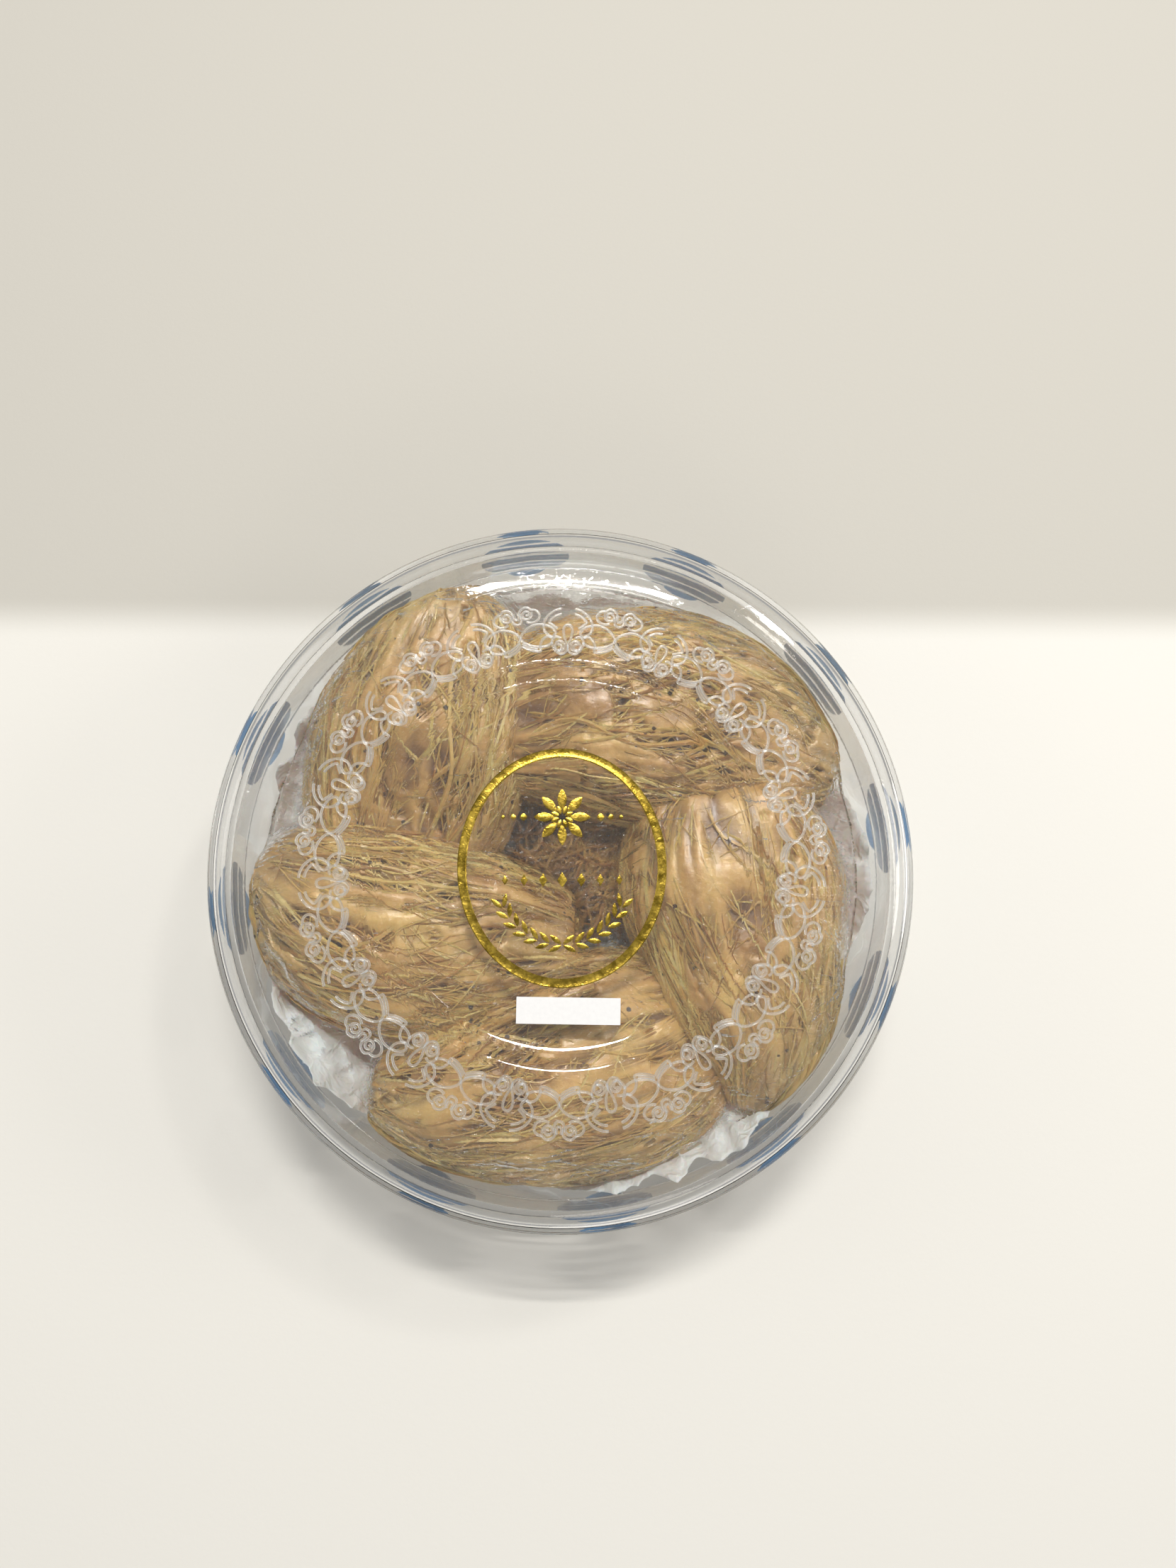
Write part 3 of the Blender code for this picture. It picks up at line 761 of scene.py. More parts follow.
def add_leaf(bm, centre, length, width, turn, points=12):
    """A flat pointed leaf of foil, with a low ridge along its middle."""
    made = bmesh.ops.create_circle(bm, cap_ends=True, segments=points, radius=0.5)["verts"]
    bmesh.ops.scale(bm, vec=(length, width, 1.0), verts=made)
    for vert in made:
        vert.co.y *= 1 - (2 * abs(vert.co.x) / length) ** 2 * 0.55
    face = next(iter(made[0].link_faces))
    raised = bmesh.ops.extrude_face_region(bm, geom=[face])["geom"]
    top = [item for item in raised if isinstance(item, bmesh.types.BMVert)]
    bmesh.ops.translate(bm, vec=(0, 0, FOIL_THICKNESS * 0.6), verts=top)
    top_face = next(item for item in raised if isinstance(item, bmesh.types.BMFace))
    poked = bmesh.ops.poke(bm, faces=[top_face])["verts"]
    bmesh.ops.translate(bm, vec=(0, 0, FOIL_THICKNESS * 0.8), verts=poked)
    whole = made + top + poked
    bmesh.ops.rotate(bm, cent=(0, 0, 0), matrix=Matrix.Rotation(turn, 3, "Z"), verts=whole)
    bmesh.ops.translate(bm, vec=(*centre, 0.0), verts=whole)


ROSETTE_CENTRE = (0.0, 0.0125)
ROSETTE_PETALS = 8
LOZENGE_ROW_Y = -0.0035
LOZENGE_STEP = 0.0048
SPRIG_RADIUS = 0.0165
SPRIG_LEAVES = 7


def add_rosette(bm):
    for ring_radius, length, width, shift in ((0.0046, 0.0052, 0.0024, 0.0), (0.0019, 0.0022, 0.0013, 0.5)):
        for index in range(ROSETTE_PETALS):
            turn = math.tau * (index + shift) / ROSETTE_PETALS
            centre = (ROSETTE_CENTRE[0] + ring_radius * math.cos(turn),
                      ROSETTE_CENTRE[1] + ring_radius * math.sin(turn))
            add_leaf(bm, centre, length, width, turn)
    for side in (1, -1):
        for index in range(3):
            reach = 0.0098 + 0.0026 * index
            size = 0.0019 - 0.0004 * index
            add_leaf(bm, (side * reach, ROSETTE_CENTRE[1]), size, size, 0.0, 8)


def add_lozenge_row(bm):
    for index in range(-3, 4):
        size = 0.0040 - 0.0005 * abs(index)
        add_leaf(bm, (index * LOZENGE_STEP, LOZENGE_ROW_Y), size, size * 0.62, math.pi / 2, 4)


def add_sprigs(bm):
    for side in (1, -1):
        for index in range(SPRIG_LEAVES):
            turn = math.radians(-84 + 10.5 * index)
            for outward, tilt in ((0.0011, 0.55), (-0.0011, -0.55)):
                radius = SPRIG_RADIUS + outward
                centre = (side * radius * math.cos(turn), radius * math.sin(turn) - 0.0030)
                direction = turn + math.pi / 2 - tilt
                add_leaf(bm, centre, 0.0036, 0.0013, direction if side > 0 else math.pi - direction)


def make_gold_foil_piece():
    bm = bmesh.new()
    add_oval_band(bm, OVAL_HALF_WIDTH, OVAL_HALF_HEIGHT, BAND_WIDTH)
    add_rosette(bm)
    add_lozenge_row(bm)
    add_sprigs(bm)
    bmesh.ops.translate(bm, vec=FOIL_CENTRE + Vector((0, 0, FOIL_Z + FOIL_GAP)), verts=bm.verts)
    return keep_piece("gold_oval", mesh_from(bm, "gold_oval"), GOLD_FOIL, smooth_deg=40)


make_gold_foil_piece()

# %% [markdown]
# ## The paper label
# The small sticker is a flat card, and its solid already has the right shape, so it keeps it
# and only gets its paper.

# %% Paper label
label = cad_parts["paper_label"]
for slot_index in range(len(label.material_slots)):
    label.material_slots[slot_index].material = WHITE_PAPER
print("label keeps its solid")

# %% [markdown]
# ## The sealing tape
# The tape is a thin strip that runs round the joint, steps in from the lid to the tray and
# leaves its ends a little apart. A closed outline is spun round the axis for less than a full
# turn. A UV map then counts the prints along the strip.

# %% Tape
TAPE_THICKNESS = 0.00015
TAPE_GAP = 0.00015
TAPE_STEP_IN = 0.0026
TAPE_TRAY_INSET = 0.00063
TAPE_TOP_Z = 0.0470
TAPE_BOTTOM_Z = 0.0215
TAPE_END_DEG = 112.0
TAPE_OPEN_DEG = 4.0
FIRST_PRINT_DEG = 7.0


def make_tape():
    skirt_end = BOX_HEIGHT - SHOULDER_DROP - SKIRT_LENGTH
    on_lid = LID_RADIUS + TAPE_GAP
    on_tray = TRAY_RADIUS - TAPE_TRAY_INSET
    inner = [(on_lid, TAPE_TOP_Z), (on_lid, skirt_end - TAPE_GAP), (on_tray, skirt_end - TAPE_STEP_IN),
             (on_tray, TAPE_BOTTOM_Z)]
    outer = [(radius + TAPE_THICKNESS, height) for radius, height in inner]
    start = math.radians(TAPE_END_DEG + TAPE_OPEN_DEG / 2)
    bm = bmesh.new()
    outline = [bm.verts.new((radius * math.cos(start), radius * math.sin(start), height))
               for radius, height in outer + inner[::-1]]
    face = bm.faces.new(outline)
    bmesh.ops.spin(bm, geom=[face], axis=(0, 0, 1), cent=(0, 0, 0),
                   angle=math.radians(360 - TAPE_OPEN_DEG), steps=SPIN_STEPS)
    bmesh.ops.recalc_face_normals(bm, faces=bm.faces)
    strip = bm.loops.layers.uv.new("strip")
    spacing = 360 / TAPE_PRINTS
    for item in bm.faces:
        middle = item.calc_center_median()
        middle_turn = math.degrees(math.atan2(middle.y, middle.x))
        for loop in item.loops:
            spot = loop.vert.co
            turn = math.degrees(math.atan2(spot.y, spot.x))
            turn = middle_turn + (turn - middle_turn + 180) % 360 - 180
            along = (turn - FIRST_PRINT_DEG) / spacing + 0.5
            across = (spot.z - TAPE_BOTTOM_Z) / (TAPE_TOP_Z - TAPE_BOTTOM_Z)
            loop[strip].uv = (along + TAPE_PRINTS, across)
    mesh = mesh_from(bm, "clear_tape", outward=False)
    return keep_piece("clear_tape", mesh, TAPE_CLEAR, ("seal_tape",), smooth_deg=30)


make_tape()

# %% [markdown]
# ## The form of a nest
# Each nest is a half cup that lies with its round side up. Its solid was lofted from arches
# along a middle line, so the same stations and the same arch give a form on which strands can
# be laid: any place along the nest and any turn over its back is a point on its surface. The
# solids are cut where two nests overlap. These forms aren't, so they go into each other there.

# %% Nest form
NESTS = {
    "nest_back_left": [
        (-0.0300, 0.0775, 0.0100, 0.0400),
        (-0.0310, 0.0660, 0.0215, 0.0430),
        (-0.0350, 0.0490, 0.0275, 0.0440),
        (-0.0400, 0.0310, 0.0295, 0.0415),
        (-0.0430, 0.0120, 0.0270, 0.0340),
        (-0.0440, -0.0080, 0.0190, 0.0290),
    ],
    "nest_back_right": [
        (-0.0200, 0.0370, 0.0190, 0.0370),
        (0.0040, 0.0430, 0.0275, 0.0435),
        (0.0300, 0.0415, 0.0300, 0.0440),
        (0.0550, 0.0355, 0.0255, 0.0400),
        (0.0760, 0.0270, 0.0140, 0.0330),
    ],
    "nest_left": [
        (-0.0810, 0.0010, 0.0125, 0.0370),
        (-0.0640, -0.0090, 0.0235, 0.0425),
        (-0.0420, -0.0180, 0.0270, 0.0440),
        (-0.0180, -0.0195, 0.0225, 0.0405),
        (0.0030, -0.0200, 0.0150, 0.0310),
    ],
    "nest_front": [
        (-0.0500, -0.0580, 0.0105, 0.0350),
        (-0.0330, -0.0600, 0.0190, 0.0410),
        (-0.0080, -0.0560, 0.0260, 0.0440),
        (0.0160, -0.0500, 0.0285, 0.0410),
        (0.0380, -0.0430, 0.0230, 0.0310),
    ],
    "nest_right": [
        (0.0420, 0.0210, 0.0240, 0.0425),
        (0.0455, -0.0030, 0.0300, 0.0445),
        (0.0500, -0.0280, 0.0250, 0.0435),
        (0.0540, -0.0480, 0.0180, 0.0400),
        (0.0510, -0.0640, 0.0095, 0.0340),
    ],
}
NEST_BELLY_Z = 0.025
NEST_RIM_Z = 0.0100
NEST_WALL = 0.0070
NEST_RIM_TUCK = 0.80
NEST_POWER = 2.7
NEST_END_SCALE = 0.45
NEST_FOOT_SHARE = 0.14
NEST_RIM_TURN = 0.10
NEST_END_POWER = 5
NEST_WALL_CLEARANCE = 0.0012
NEST_PRESS_DEPTH = 0.003


def station_value(stations, place):
    """Each number of the stations at a place from 0 to 1 along them, on a Catmull-Rom curve."""
    last = len(stations) - 1
    index = min(int(place * last), last - 1)
    part = place * last - index
    before, left = stations[max(index - 1, 0)], stations[index]
    right, after = stations[index + 1], stations[min(index + 2, last)]
    return [
        b + 0.5 * part * (c - a + part * (2 * a - 5 * b + 4 * c - d + part * (3 * (b - c) + d - a)))
        for a, b, c, d in zip(before, left, right, after)
    ]


def tray_inside_radius(height):
    """How far the tray's inner side is from the axis at a height."""
    heel_radius = TRAY_RADIUS - TRAY_TAPER - WALL
    if height < TRAY_HEEL_Z:
        drop = min((TRAY_HEEL_Z - height) / (TRAY_HEEL_Z - WALL), 1.0)
        foot_radius = FOOT_OUTER - WALL
        return foot_radius + (heel_radius - foot_radius) * math.sqrt(1 - drop * drop)
    part = min((height - TRAY_HEEL_Z) / (TRAY_RIM_Z - TRAY_HEEL_Z), 1.0)
    return heel_radius + TRAY_TAPER * part


def held_in(point, clearance=NEST_WALL_CLEARANCE):
    """A nest that reaches the wall is pressed in by it, more the further it would stand out."""
    radius = math.hypot(point.x, point.y)
    start = tray_inside_radius(point.z) - clearance - NEST_PRESS_DEPTH
    if radius > start:
        pressed = start + NEST_PRESS_DEPTH * (1 - math.exp((start - radius) / NEST_PRESS_DEPTH))
        point = Vector((point.x * pressed / radius, point.y * pressed / radius, point.z))
    return point


class NestForm:
    """The arch of one nest at any place along it. Frames are kept, because many points share one."""

    def __init__(self, stations):
        self.stations = stations
        self.kept = {}

    def arch(self, place):
        place = min(max(place, 0.0), 1.0)
        key = round(place, 4)
        if key not in self.kept:
            x, y, half, crest = station_value(self.stations, place)
            ahead = station_value(self.stations, min(place + 0.01, 1.0))
            behind = station_value(self.stations, max(place - 0.01, 0.0))
            along = Vector((ahead[0] - behind[0], ahead[1] - behind[1], 0)).normalized()
            end = (1 - abs(2 * place - 1) ** NEST_END_POWER) ** (1 / NEST_END_POWER)
            round_off = NEST_END_SCALE + (1 - NEST_END_SCALE) * end
            rise = NEST_BELLY_Z + (crest - NEST_BELLY_Z) * round_off
            self.kept[key] = (Vector((x, y, 0)), Vector((-along.y, along.x, 0)), half * round_off, rise)
        return self.kept[key]

    def outer(self, place, turn, lift=0.0):
        """A point over the back: turn runs from 0 at one rim to 1 at the other."""
        middle, side, half, crest = self.arch(place)
        below = NEST_RIM_TURN
        if turn < below or turn > 1 - below:
            edge = -1 if turn < below else 1
            part = (below - turn if turn < below else turn - 1 + below) / below
            across = edge * half * (1 - (1 - NEST_RIM_TUCK) * part)
            up = NEST_BELLY_Z + (NEST_RIM_Z - NEST_BELLY_Z) * part
            outwards = side * edge
        else:
            angle = math.pi * (turn - below) / (1 - 2 * below)
            cosine, sine = math.cos(angle), math.sin(angle)
            across = -half * abs(cosine) ** (2 / NEST_POWER) * math.copysign(1, cosine)
            up = NEST_BELLY_Z + (crest - NEST_BELLY_Z) * sine ** (2 / NEST_POWER)
            outwards = (side * (-cosine) * 0.8 + Vector((0, 0, sine))).normalized()
        return held_in(middle + side * across + Vector((0, 0, up)) + outwards * lift)

    def inner(self, place, turn):
        """A point on the hollow side: turn runs from 0 at the far rim back to 1."""
        middle, side, half, crest = self.arch(place)
        from_end = (min(place, 1 - place) - NEST_FOOT_SHARE) / NEST_FOOT_SHARE
        depth = min(max(from_end, 0.0), 1.0)
        inner_half = NEST_RIM_TUCK * half - NEST_WALL * min(1.0, half / NEST_WALL * 0.5)
        inner_top = NEST_RIM_Z + max(crest - NEST_WALL - NEST_RIM_Z, 0.001) * depth + 0.0004
        angle = math.pi * turn
        across = inner_half * math.cos(angle)
        up = NEST_RIM_Z + (inner_top - NEST_RIM_Z) * math.sin(angle)
        return held_in(middle + side * across + Vector((0, 0, up)))


FORMS = {name: NestForm(stations) for name, stations in NESTS.items()}
print("nest forms", list(FORMS))

# %% [markdown]
# ## The body of a nest
# The body is a grid that is bent over the form, closed underneath and drawn together at both
# ends. It is then pushed in and out by noise that is stretched along the nest, which gives
# merged bundles of strands with pores between them. A painted shade is kept for each point as
# an attribute: deep in the pores, in the valleys between bundles and on the hollow underside,
# light where lumps and threads stand proud. The material darkens the strands by it.

# %% Nest bodies
GRID_ALONG = 210
GRID_AROUND = 150
OUTER_SHARE = 0.80
CAP_SHARE = 0.035
BUNDLE_HEIGHT = 0.0009
LUMP_HEIGHT = 0.0010
PORE_DEPTH = 0.0026
NEST_GIRTH = 0.095
RELIEF_FADE = 0.02


def body_relief(place, turn, seed, length, girth):
    """How far the surface stands out, in metres, and its painted shade, from 0 to 1."""
    along, across = place * length, turn * girth
    sway = 0.004 * noise.noise(Vector((along / 0.03, across / 0.02, seed)))
    across += sway
    bundle = noise.noise(Vector((along / 0.022, across / 0.0026, seed + 3.1)))
    thread = noise.noise(Vector((along / 0.011, across / 0.0011, seed + 7.7)))
    lump = noise.noise(Vector((along / 0.012, across / 0.008, seed + 11.3)))
    hole = noise.noise(Vector((along / 0.0055, across / 0.0024, seed + 17.9)))
    patch = noise.noise(Vector((along / 0.024, across / 0.016, seed + 23.3)))
    pore = max(0.0, hole + 0.55 * patch - 0.24) * 2.6
    pore = min(pore, 1.0)
    height = BUNDLE_HEIGHT * (1 - 2.2 * abs(bundle)) * 0.8 + 0.0005 * thread + LUMP_HEIGHT * lump
    height -= PORE_DEPTH * pore
    # Painted shade: darkest in the pores and the valleys between bundles, lightest on lumps and threads
    # that stand proud.
    painted_shade = 0.8 * pore + 1.9 * (abs(bundle) - 0.20) - 0.5 * lump - 0.6 * thread + 0.10
    painted_shade = min(1.0, max(0.0, painted_shade))
    return height, painted_shade


def nest_length(stations):
    return sum(math.dist(a[:2], b[:2]) for a, b in zip(stations, stations[1:]))


def make_nest_body(name, seed):
    form = FORMS[name]
    length = nest_length(form.stations)
    girth = NEST_GIRTH
    bm = bmesh.new()
    bmesh.ops.create_grid(bm, x_segments=GRID_ALONG, y_segments=GRID_AROUND, size=0.5)
    shade_layer = bm.verts.layers.float.new("depth")
    tone_layer = bm.verts.layers.float.new("tone")
    for vert in bm.verts:
        run, round_trip = vert.co.x + 0.5, vert.co.y + 0.5
        place = min(max((run - CAP_SHARE) / (1 - 2 * CAP_SHARE), 0.0), 1.0)
        draw_in = min(run / CAP_SHARE, (1 - run) / CAP_SHARE, 1.0)
        if round_trip < OUTER_SHARE:
            turn = round_trip / OUTER_SHARE
            height, painted_shade = body_relief(place, turn, seed, length, girth)
            fade = min(1.0, turn / RELIEF_FADE, (1 - turn) / RELIEF_FADE) * draw_in
            point = form.outer(place, turn, height * fade)
        else:
            # Painted shade on the hollow underside.
            painted_shade = 0.6
            point = form.inner(place, (round_trip - OUTER_SHARE) / (1 - OUTER_SHARE))
        if draw_in < 1.0:
            middle = form.arch(place)[0]
            centre = held_in(Vector((middle.x, middle.y, NEST_BELLY_Z)))
            point = centre + (point - centre) * math.sin(math.pi / 2 * max(draw_in, 0.0))
        vert.co = point
        vert[shade_layer] = painted_shade
        tone = noise.noise(Vector((place * length / 0.03, round_trip * girth / 0.004, seed + 31.0)))
        vert[tone_layer] = 0.42 + 0.5 * tone
    bmesh.ops.remove_doubles(bm, verts=bm.verts, dist=1e-6)
    mesh = mesh_from(bm, name + "_body")
    return keep_piece(name + "_body", mesh, NEST_MATERIAL, (name,), smooth_deg=80)


for number, nest_name in enumerate(NESTS):
    make_nest_body(nest_name, 40.0 * number)

# %% [markdown]
# ## The strands
# Hundreds of separate strands lie over each body. A strand is a thin tube that starts and ends
# inside the body, runs along the nest with a little drift, and lifts off here and there. All
# strands of a nest are splines of one curve, so a single bevel makes them all. A share of them
# stays low on the flanks. Short thin strands run across the others and tie them into a net, and
# a few more cross the flat ends.

# %% Strands
LONG_STRANDS = 530
FLANK_SHARE = 0.26
FLANK_TURN = 0.12
END_STRANDS = 70
END_STAND_OUT = 0.0009
CROSS_STRANDS = 260
LONG_POINTS = 26
CROSS_POINTS = 9
STRAND_RADIUS = 0.00030
BEVEL_RING = 4
CAP_RINGS = 2
WIDE_SHARE = 0.28
WIDE_SINK = 0.0004
END_WIDTHS = (0.6, 2.2)
CROSS_WIDTHS = (0.35, 0.7)
WIDE_WIDTHS = (1.2, 2.3)
THIN_WIDTHS = (0.4, 1.0)
STRAND_TONE = (0.46, 0.26)


def strand_path(form, rng, long_run):
    """Points and radii of one strand on a nest."""
    if long_run:
        share, count = rng.uniform(0.22, 0.95), LONG_POINTS
        drift, spread = rng.gauss(0, 0.10), 0.0011
    else:
        share, count = rng.uniform(0.03, 0.12), CROSS_POINTS
        drift, spread = rng.choice((-1, 1)) * rng.uniform(0.03, 0.12), 0.0008
    start = rng.uniform(-0.04, 1.04 - share)
    turn = rng.uniform(0.05, 0.95)
    if rng.random() < FLANK_SHARE:
        turn = rng.choice((0.0, 1.0 - FLANK_TURN)) + FLANK_TURN * rng.random()
    lift = rng.uniform(0.0, 1.0) ** 2 * 0.0010
    seed = rng.uniform(0, 500)
    points, radii = [], []
    for index in range(count):
        part = index / (count - 1)
        place = min(max(start + share * part, 0.01), 0.99)
        wave = noise.noise(Vector((part * 3.0 * share + seed, seed, 0.0)))
        spot = min(max(turn + drift * (part - 0.5) + 0.10 * wave, 0.005), 0.995)
        rise = noise.noise(Vector((part * 6.0 * share, seed, 4.0)))
        ends = min(1.0, 6 * part, 6 * (1 - part))
        points.append(form.outer(place, spot, (lift + spread * rise) * ends - 0.0008 * (1 - ends)))
        radii.append((0.55 + 0.45 * ends) * rng.uniform(0.85, 1.15))
    return points, radii


def end_strand_path(form, rng, place):
    """A strand that crosses the flat end of a nest, from one spot of its outline to another."""
    side = form.arch(place)[1]
    outwards = Vector((side.y, -side.x, 0)) * (1 if place > 0.5 else -1)
    first, second = rng.random(), rng.random()
    start, stop = form.outer(place, first), form.outer(place, second)
    stand_out = END_STAND_OUT * rng.uniform(0.3, 1.0)
    points, radii = [], []
    for index in range(CROSS_POINTS):
        part = index / (CROSS_POINTS - 1)
        wave = noise.noise(Vector((part * 2.5, first * 90, second * 90)))
        point = start.lerp(stop, part) + Vector((0, 0, 0.0025 * wave * math.sin(math.pi * part)))
        rise = math.sin(math.pi * min(max(part, 0.06), 0.94)) ** 0.5
        points.append(held_in(point + outwards * (stand_out * rise)))
        radii.append(rng.uniform(0.85, 1.15))
    return points, radii


def make_nest_strands(name, seed):
    form = FORMS[name]
    rng = random.Random(seed)
    curve = bevelled_curve(name + "_strands", STRAND_RADIUS, 0)
    tones = []
    for index in range(LONG_STRANDS + CROSS_STRANDS + 2 * END_STRANDS):
        long_run = index < LONG_STRANDS
        if index < LONG_STRANDS + CROSS_STRANDS:
            points, radii = strand_path(form, rng, long_run)
        else:
            points, radii = end_strand_path(form, rng, index % 2)
        if index >= LONG_STRANDS + CROSS_STRANDS:
            width = rng.uniform(*END_WIDTHS)
        elif not long_run:
            width = rng.uniform(*CROSS_WIDTHS)
        elif rng.random() < WIDE_SHARE:
            width = rng.uniform(*WIDE_WIDTHS)
            points = [point - Vector((0, 0, WIDE_SINK)) for point in points]
        else:
            width = rng.uniform(*THIN_WIDTHS)
        add_spline(curve, points, [radius * width for radius in radii])
        tone = min(1.0, max(0.0, rng.gauss(*STRAND_TONE)))
        tones += [tone] * ((len(points) + CAP_RINGS) * BEVEL_RING)
    mesh = mesh_from_curve(curve, name + "_strands")
    mesh.attributes.new("tone", "FLOAT", "POINT").data.foreach_set("value", tones)
    return keep_piece(name + "_strands", mesh, NEST_MATERIAL, (name,), smooth_deg=80)


for number, nest_name in enumerate(NESTS):
    make_nest_strands(nest_name, 100 + number)

# %% [markdown]
# ## Loose strands between the nests
# The nests leave a small gap in the middle of the box, which lies in their shade. A flat tangle
# of bent strands lies there, partly nest material and partly painted shade: their tones are
# darker than on the nests, which keeps the gap dark brown.

# %% Loose strands
GAP_CENTRE = (0.0065, 0.0025)
GAP_REACH = (0.024, 0.022)
GAP_LOW_Z = 0.0095
GAP_HIGH_Z = 0.0215
LOOSE_STRANDS = 420
LOOSE_POINTS = 14
LOOSE_LENGTHS = (0.014, 0.034)
LOOSE_BOW = 0.004
LOOSE_SCATTER = 0.4


def make_gap_shade_strands():
    rng = random.Random(77)
    curve = bevelled_curve("gap_shade_strands", STRAND_RADIUS, 0)
    tones = []
    for _ in range(LOOSE_STRANDS):
        turn = rng.gauss(0.6, 0.9)
        along = Vector((math.cos(turn), math.sin(turn), 0))
        side = Vector((-along.y, along.x, 0))
        middle = Vector((GAP_CENTRE[0] + rng.gauss(0, LOOSE_SCATTER) * GAP_REACH[0],
                         GAP_CENTRE[1] + rng.gauss(0, LOOSE_SCATTER) * GAP_REACH[1],
                         rng.uniform(GAP_LOW_Z, GAP_HIGH_Z)))
        length = rng.uniform(*LOOSE_LENGTHS)
        bow = rng.uniform(-LOOSE_BOW, LOOSE_BOW)
        seed = rng.uniform(0, 500)
        points = []
        for index in range(LOOSE_POINTS):
            part = index / (LOOSE_POINTS - 1) - 0.5
            wave = noise.noise(Vector((part * 4, seed, 0.0)))
            lift = 0.002 * noise.noise(Vector((part * 4, seed, 9.0))) - 0.010 * part * part
            sideways = bow * 4 * part * part + 0.003 * wave
            points.append(middle + along * (length * part) + side * sideways
                          + Vector((0, 0, lift)))
        width = rng.uniform(0.5, 1.9)
        add_spline(curve, points, [width] * LOOSE_POINTS)
        # Painted shade: darker tones than the strands on the nests.
        tones += [rng.uniform(0.0, 0.45)] * ((LOOSE_POINTS + CAP_RINGS) * BEVEL_RING)
    mesh = mesh_from_curve(curve, "gap_shade_strands")
    mesh.attributes.new("tone", "FLOAT", "POINT").data.foreach_set("value", tones)
    return keep_piece("gap_shade_strands", mesh, NEST_MATERIAL, smooth_deg=80)


make_gap_shade_strands()

# %% [markdown]
# ## Tissue paper
# Crumpled white paper fills the floor of the tray and stands up where no nest is. A square grid
# is drawn to a disc, and folded noise gives the sharp ridges of crumpled paper. It isn't fitted
# to its neighbours: it passes through the lower parts of the nests, and its edge goes up to
# 0.56 mm into the tray's wall.

# %% Tissue paper
TISSUE_RADIUS = 0.0834
TISSUE_GRID = 170
TISSUE_BASE = 0.0062
TISSUE_TUFTS = [(214.0, 22.0, 0.027), (294.0, 34.0, 0.030), (0.0, 20.0, 0.020), (56.0, 14.0, 0.014),
                (150.0, 22.0, 0.018)]
TISSUE_TUFT_START = 0.062
TISSUE_SHEET = 0.00012
TISSUE_ABOVE_TRAY = 0.0016
TISSUE_LEAST_GAP = 0.0006
CRUMPLE_HEIGHT = 0.0032
CRUMPLE_OCTAVES = ((1.0, 1.0), (2.1, 0.5), (4.3, 0.22))
CRUMPLE_PEAK = 0.86


def to_disc(x, y):
    """Map a square from -1 to 1 onto a disc of radius 1."""
    return x * math.sqrt(1 - y * y / 2), y * math.sqrt(1 - x * x / 2)


def tray_inside_height(radius):
    """How high the tray's inner side is at a distance from the axis."""
    heel_radius = TRAY_RADIUS - TRAY_TAPER - WALL
    foot_radius = FOOT_OUTER - WALL
    if radius <= foot_radius:
        return WALL + FOOT_DEPTH
    part = min((radius - foot_radius) / (heel_radius - foot_radius), 1.0)
    return WALL + (TRAY_HEEL_Z - WALL) * (1 - math.sqrt(1 - part * part)) + FOOT_DEPTH


def crumple(x, y, scale, seed):
    """Folded noise: sharp ridges and flat facets between them."""
    total = 0.0
    for octave, weight in CRUMPLE_OCTAVES:
        spot = Vector((x * scale * octave, y * scale * octave, seed))
        total += weight * (0.5 - abs(noise.noise(spot)))
    return total / CRUMPLE_PEAK - 0.5


def tissue_height(x, y):
    radius = math.hypot(x, y)
    turn = math.degrees(math.atan2(y, x))
    height = max(TISSUE_BASE, tray_inside_height(radius) + TISSUE_ABOVE_TRAY)
    height += CRUMPLE_HEIGHT * crumple(x, y, 60.0, 2.0)
    outward = max(0.0, min(1.0, (radius - TISSUE_TUFT_START) / (TISSUE_RADIUS - TISSUE_TUFT_START)))
    for middle, spread, rise in TISSUE_TUFTS:
        away = (turn - middle + 180) % 360 - 180
        share = max(0.0, 1 - (away / spread) ** 2)
        height += rise * outward * share * (0.85 + 0.6 * crumple(x, y, 75.0, 5.0))
    return max(height, tray_inside_height(radius) + TISSUE_LEAST_GAP)


def make_tissue():
    bm = bmesh.new()
    bmesh.ops.create_grid(bm, x_segments=TISSUE_GRID, y_segments=TISSUE_GRID, size=1.0)
    for vert in bm.verts:
        x, y = to_disc(vert.co.x, vert.co.y)
        edge = 1 + 0.02 * noise.noise(Vector((x * 9, y * 9, 1.0)))
        x, y = x * TISSUE_RADIUS * min(edge, 1.0), y * TISSUE_RADIUS * min(edge, 1.0)
        shift = 0.0012 * noise.noise(Vector((x * 160, y * 160, 9.0)))
        vert.co = (x + shift, y - shift, tissue_height(x, y))
    mesh = mesh_from(bm, "tissue", outward=False)
    piece = keep_piece("tissue", mesh, TISSUE, ("tissue_paper",), smooth_deg=35)
    sheet = piece.modifiers.new("paper thickness", "SOLIDIFY")
    sheet.thickness = TISSUE_SHEET
    sheet.offset = -1.0
    return piece


tissue = make_tissue()
print("tissue area in square metres", round(sum(face.area for face in tissue.data.polygons), 5))

# %% [markdown]
# ## Cling film
# Film lies over the nests, spans the hollows between them and breaks the light at its creases.
# The grid is dropped onto the nests with rays, smoothed so that it spans the gaps, and then
# pulled into long thin pleats. A Solidify modifier gives it its two sides, which a clear
# sheet needs to bend light in and out again.

# %% Cling film
FILM_RADIUS = 0.0805
FILM_GRID = 150
FILM_LOW_Z = 0.026
FILM_ABOVE = 0.0020
FILM_TOP_LIMIT = 0.0484
FILM_SHEET = 0.00008
FILM_SMOOTHING = 14
PLEAT_HEIGHT = 0.0075
PLEAT_CUT_OFF = 0.28
PLEAT_RUNS = ((0.5, 150.0, 1.0), (1.9, 190.0, 8.0), (2.7, 120.0, 15.0))


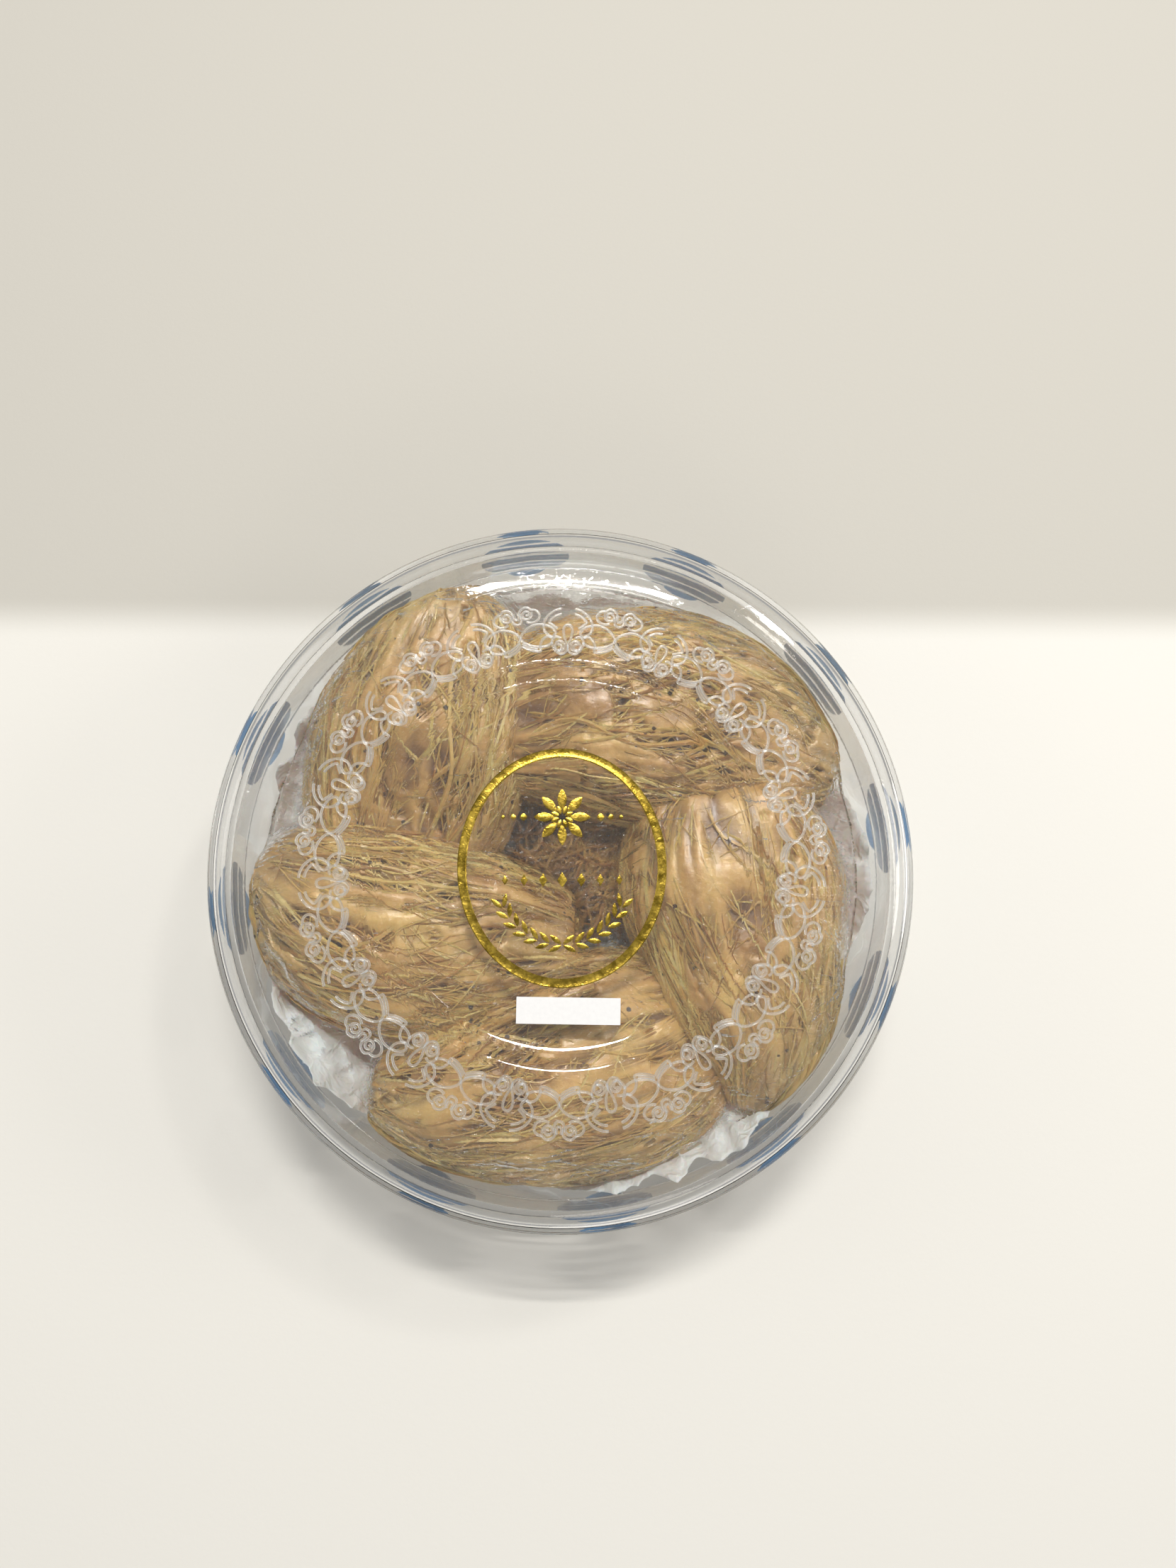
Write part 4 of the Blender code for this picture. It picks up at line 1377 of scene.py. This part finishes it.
def body_trees():
    trees = []
    for name in NESTS:
        mesh = bpy.data.objects[name + "_body"].data
        trees.append(BVHTree.FromPolygons([vert.co for vert in mesh.vertices],
                                          [face.vertices for face in mesh.polygons]))
    return trees


def top_height(trees, x, y):
    best = FILM_LOW_Z
    for tree in trees:
        hit = tree.ray_cast(Vector((x, y, 1.0)), Vector((0, 0, -1)))[0]
        if hit is not None:
            best = max(best, hit.z)
    return best


def pleat(x, y):
    """Long pleats in three directions that fade in and out."""
    total = 0.0
    for turn, scale, seed in PLEAT_RUNS:
        along = x * math.cos(turn) + y * math.sin(turn)
        across = y * math.cos(turn) - x * math.sin(turn)
        ridge = 0.5 - abs(noise.noise(Vector((along * scale * 0.16, across * scale, seed))))
        where = max(0.0, noise.noise(Vector((x * 28, y * 28, seed + 50))) + 0.10)
        total += max(0.0, ridge - PLEAT_CUT_OFF) * where
    return total


def make_film():
    trees = body_trees()
    bm = bmesh.new()
    bmesh.ops.create_grid(bm, x_segments=FILM_GRID, y_segments=FILM_GRID, size=1.0)
    floor_of = {}
    for vert in bm.verts:
        x, y = to_disc(vert.co.x, vert.co.y)
        x, y = x * FILM_RADIUS, y * FILM_RADIUS
        vert.co = (x, y, top_height(trees, x, y) + FILM_ABOVE)
        floor_of[vert] = vert.co.z
    for _ in range(FILM_SMOOTHING):
        bmesh.ops.smooth_vert(bm, verts=bm.verts, factor=0.5, use_axis_z=True)
        for vert in bm.verts:
            vert.co.z = max(vert.co.z, floor_of[vert])
    for vert in bm.verts:
        vert.co.z = min(vert.co.z + PLEAT_HEIGHT * pleat(vert.co.x, vert.co.y), FILM_TOP_LIMIT)
    mesh = mesh_from(bm, "film", outward=False)
    piece = keep_piece("film", mesh, FILM_CLEAR, ("cling_film",), smooth_deg=60)
    sheet = piece.modifiers.new("film thickness", "SOLIDIFY")
    sheet.thickness = FILM_SHEET
    return piece


film = make_film()
print("film area in square metres", round(sum(face.area for face in film.data.polygons), 5))

# %% [markdown]
# ## Floor and light
# The box stands on a pale floor. Behind the box it turns greyer, a painted shade that stands in
# for a backdrop in less light. The light is soft and comes from above and behind, from one large
# lamp whose mirror image is the bright crescent on the shoulder of the lid. A smaller lamp beside
# it gives the second, shorter glint. Three weak lamps light the left, the right and the front,
# and the world fills the shadows.

# %% Floor, lights and world
FLOOR_HALF = 1.5
FLOOR_BACK_Y = 0.080
FLOOR_BLEND = 0.007
FLOOR_DROP = 0.0002
FLOOR_NEAR_COLOR = (0.86, 0.845, 0.80)
FLOOR_BACK_SHADE_COLOR = (0.60, 0.58, 0.53)
LAMP_HEIGHT = 1.0
LAMPS = [
    # name, place, width, height, watts
    ("key", (0.02, 0.49, LAMP_HEIGHT), 0.32, 0.022, 6.6),
    ("side", (0.46, 0.60, 0.92), 0.12, 0.08, 2.0),
    ("left", (-1.05, 0.15, 0.60), 0.5, 0.3, 0.8),
    ("right", (1.05, 0.10, 0.65), 0.5, 0.3, 2.4),
    ("front", (0.25, -1.05, 0.75), 0.6, 0.3, 1.2),
]
LAMP_COLOR = (1.0, 0.975, 0.93)
WORLD_COLOR = (1.0, 0.985, 0.955, 1.0)
WORLD_STRENGTH = 0.38


def make_floor_material():
    material, tree, shader = new_material("pale_floor", Roughness=0.9)
    place = object_place(tree)
    split = add_node(tree, "ShaderNodeSeparateXYZ", sources={"Vector": place})
    back = ranged(tree, (split, "Y"), {"interpolation_type": "SMOOTHSTEP"},
                  From_Min=FLOOR_BACK_Y - FLOOR_BLEND, From_Max=FLOOR_BACK_Y + FLOOR_BLEND)
    # Painted shade: greyer behind the line at FLOOR_BACK_Y.
    feed(tree, shader, "Base Color", mixed_color(tree, back, FLOOR_NEAR_COLOR, FLOOR_BACK_SHADE_COLOR))
    add_bump(tree, shader, use_group(tree, BLOTCHES, place, Scale=600.0, Contrast=1.0), 0.15, 0.0003)
    return material


def make_floor():
    bm = bmesh.new()
    bmesh.ops.create_grid(bm, x_segments=1, y_segments=1, size=FLOOR_HALF)
    bmesh.ops.translate(bm, vec=(0, 0, -FLOOR_DROP), verts=bm.verts)
    mesh = mesh_from(bm, "floor", outward=False)
    mesh.materials.append(make_floor_material())
    floor = bpy.data.objects.new("floor", mesh)
    bpy.context.scene.collection.objects.link(floor)


def make_lamps():
    for name, place, width, height, watts in LAMPS:
        data = bpy.data.lights.new(name, "AREA")
        data.shape = "ELLIPSE"
        data.size = width
        data.size_y = height
        data.energy = watts
        data.color = LAMP_COLOR
        lamp = bpy.data.objects.new(name, data)
        lamp.location = place
        lamp.rotation_euler = (-Vector(place)).to_track_quat("-Z", "Y").to_euler()
        bpy.context.scene.collection.objects.link(lamp)


def make_world():
    world = bpy.data.worlds.new("pale room")
    world.use_nodes = True
    background = world.node_tree.nodes["Background"]
    background.inputs["Color"].default_value = WORLD_COLOR
    background.inputs["Strength"].default_value = WORLD_STRENGTH
    bpy.context.scene.world = world
    bpy.context.scene.view_settings.view_transform = "Standard"


make_floor()
make_lamps()
make_world()
print("stage made")
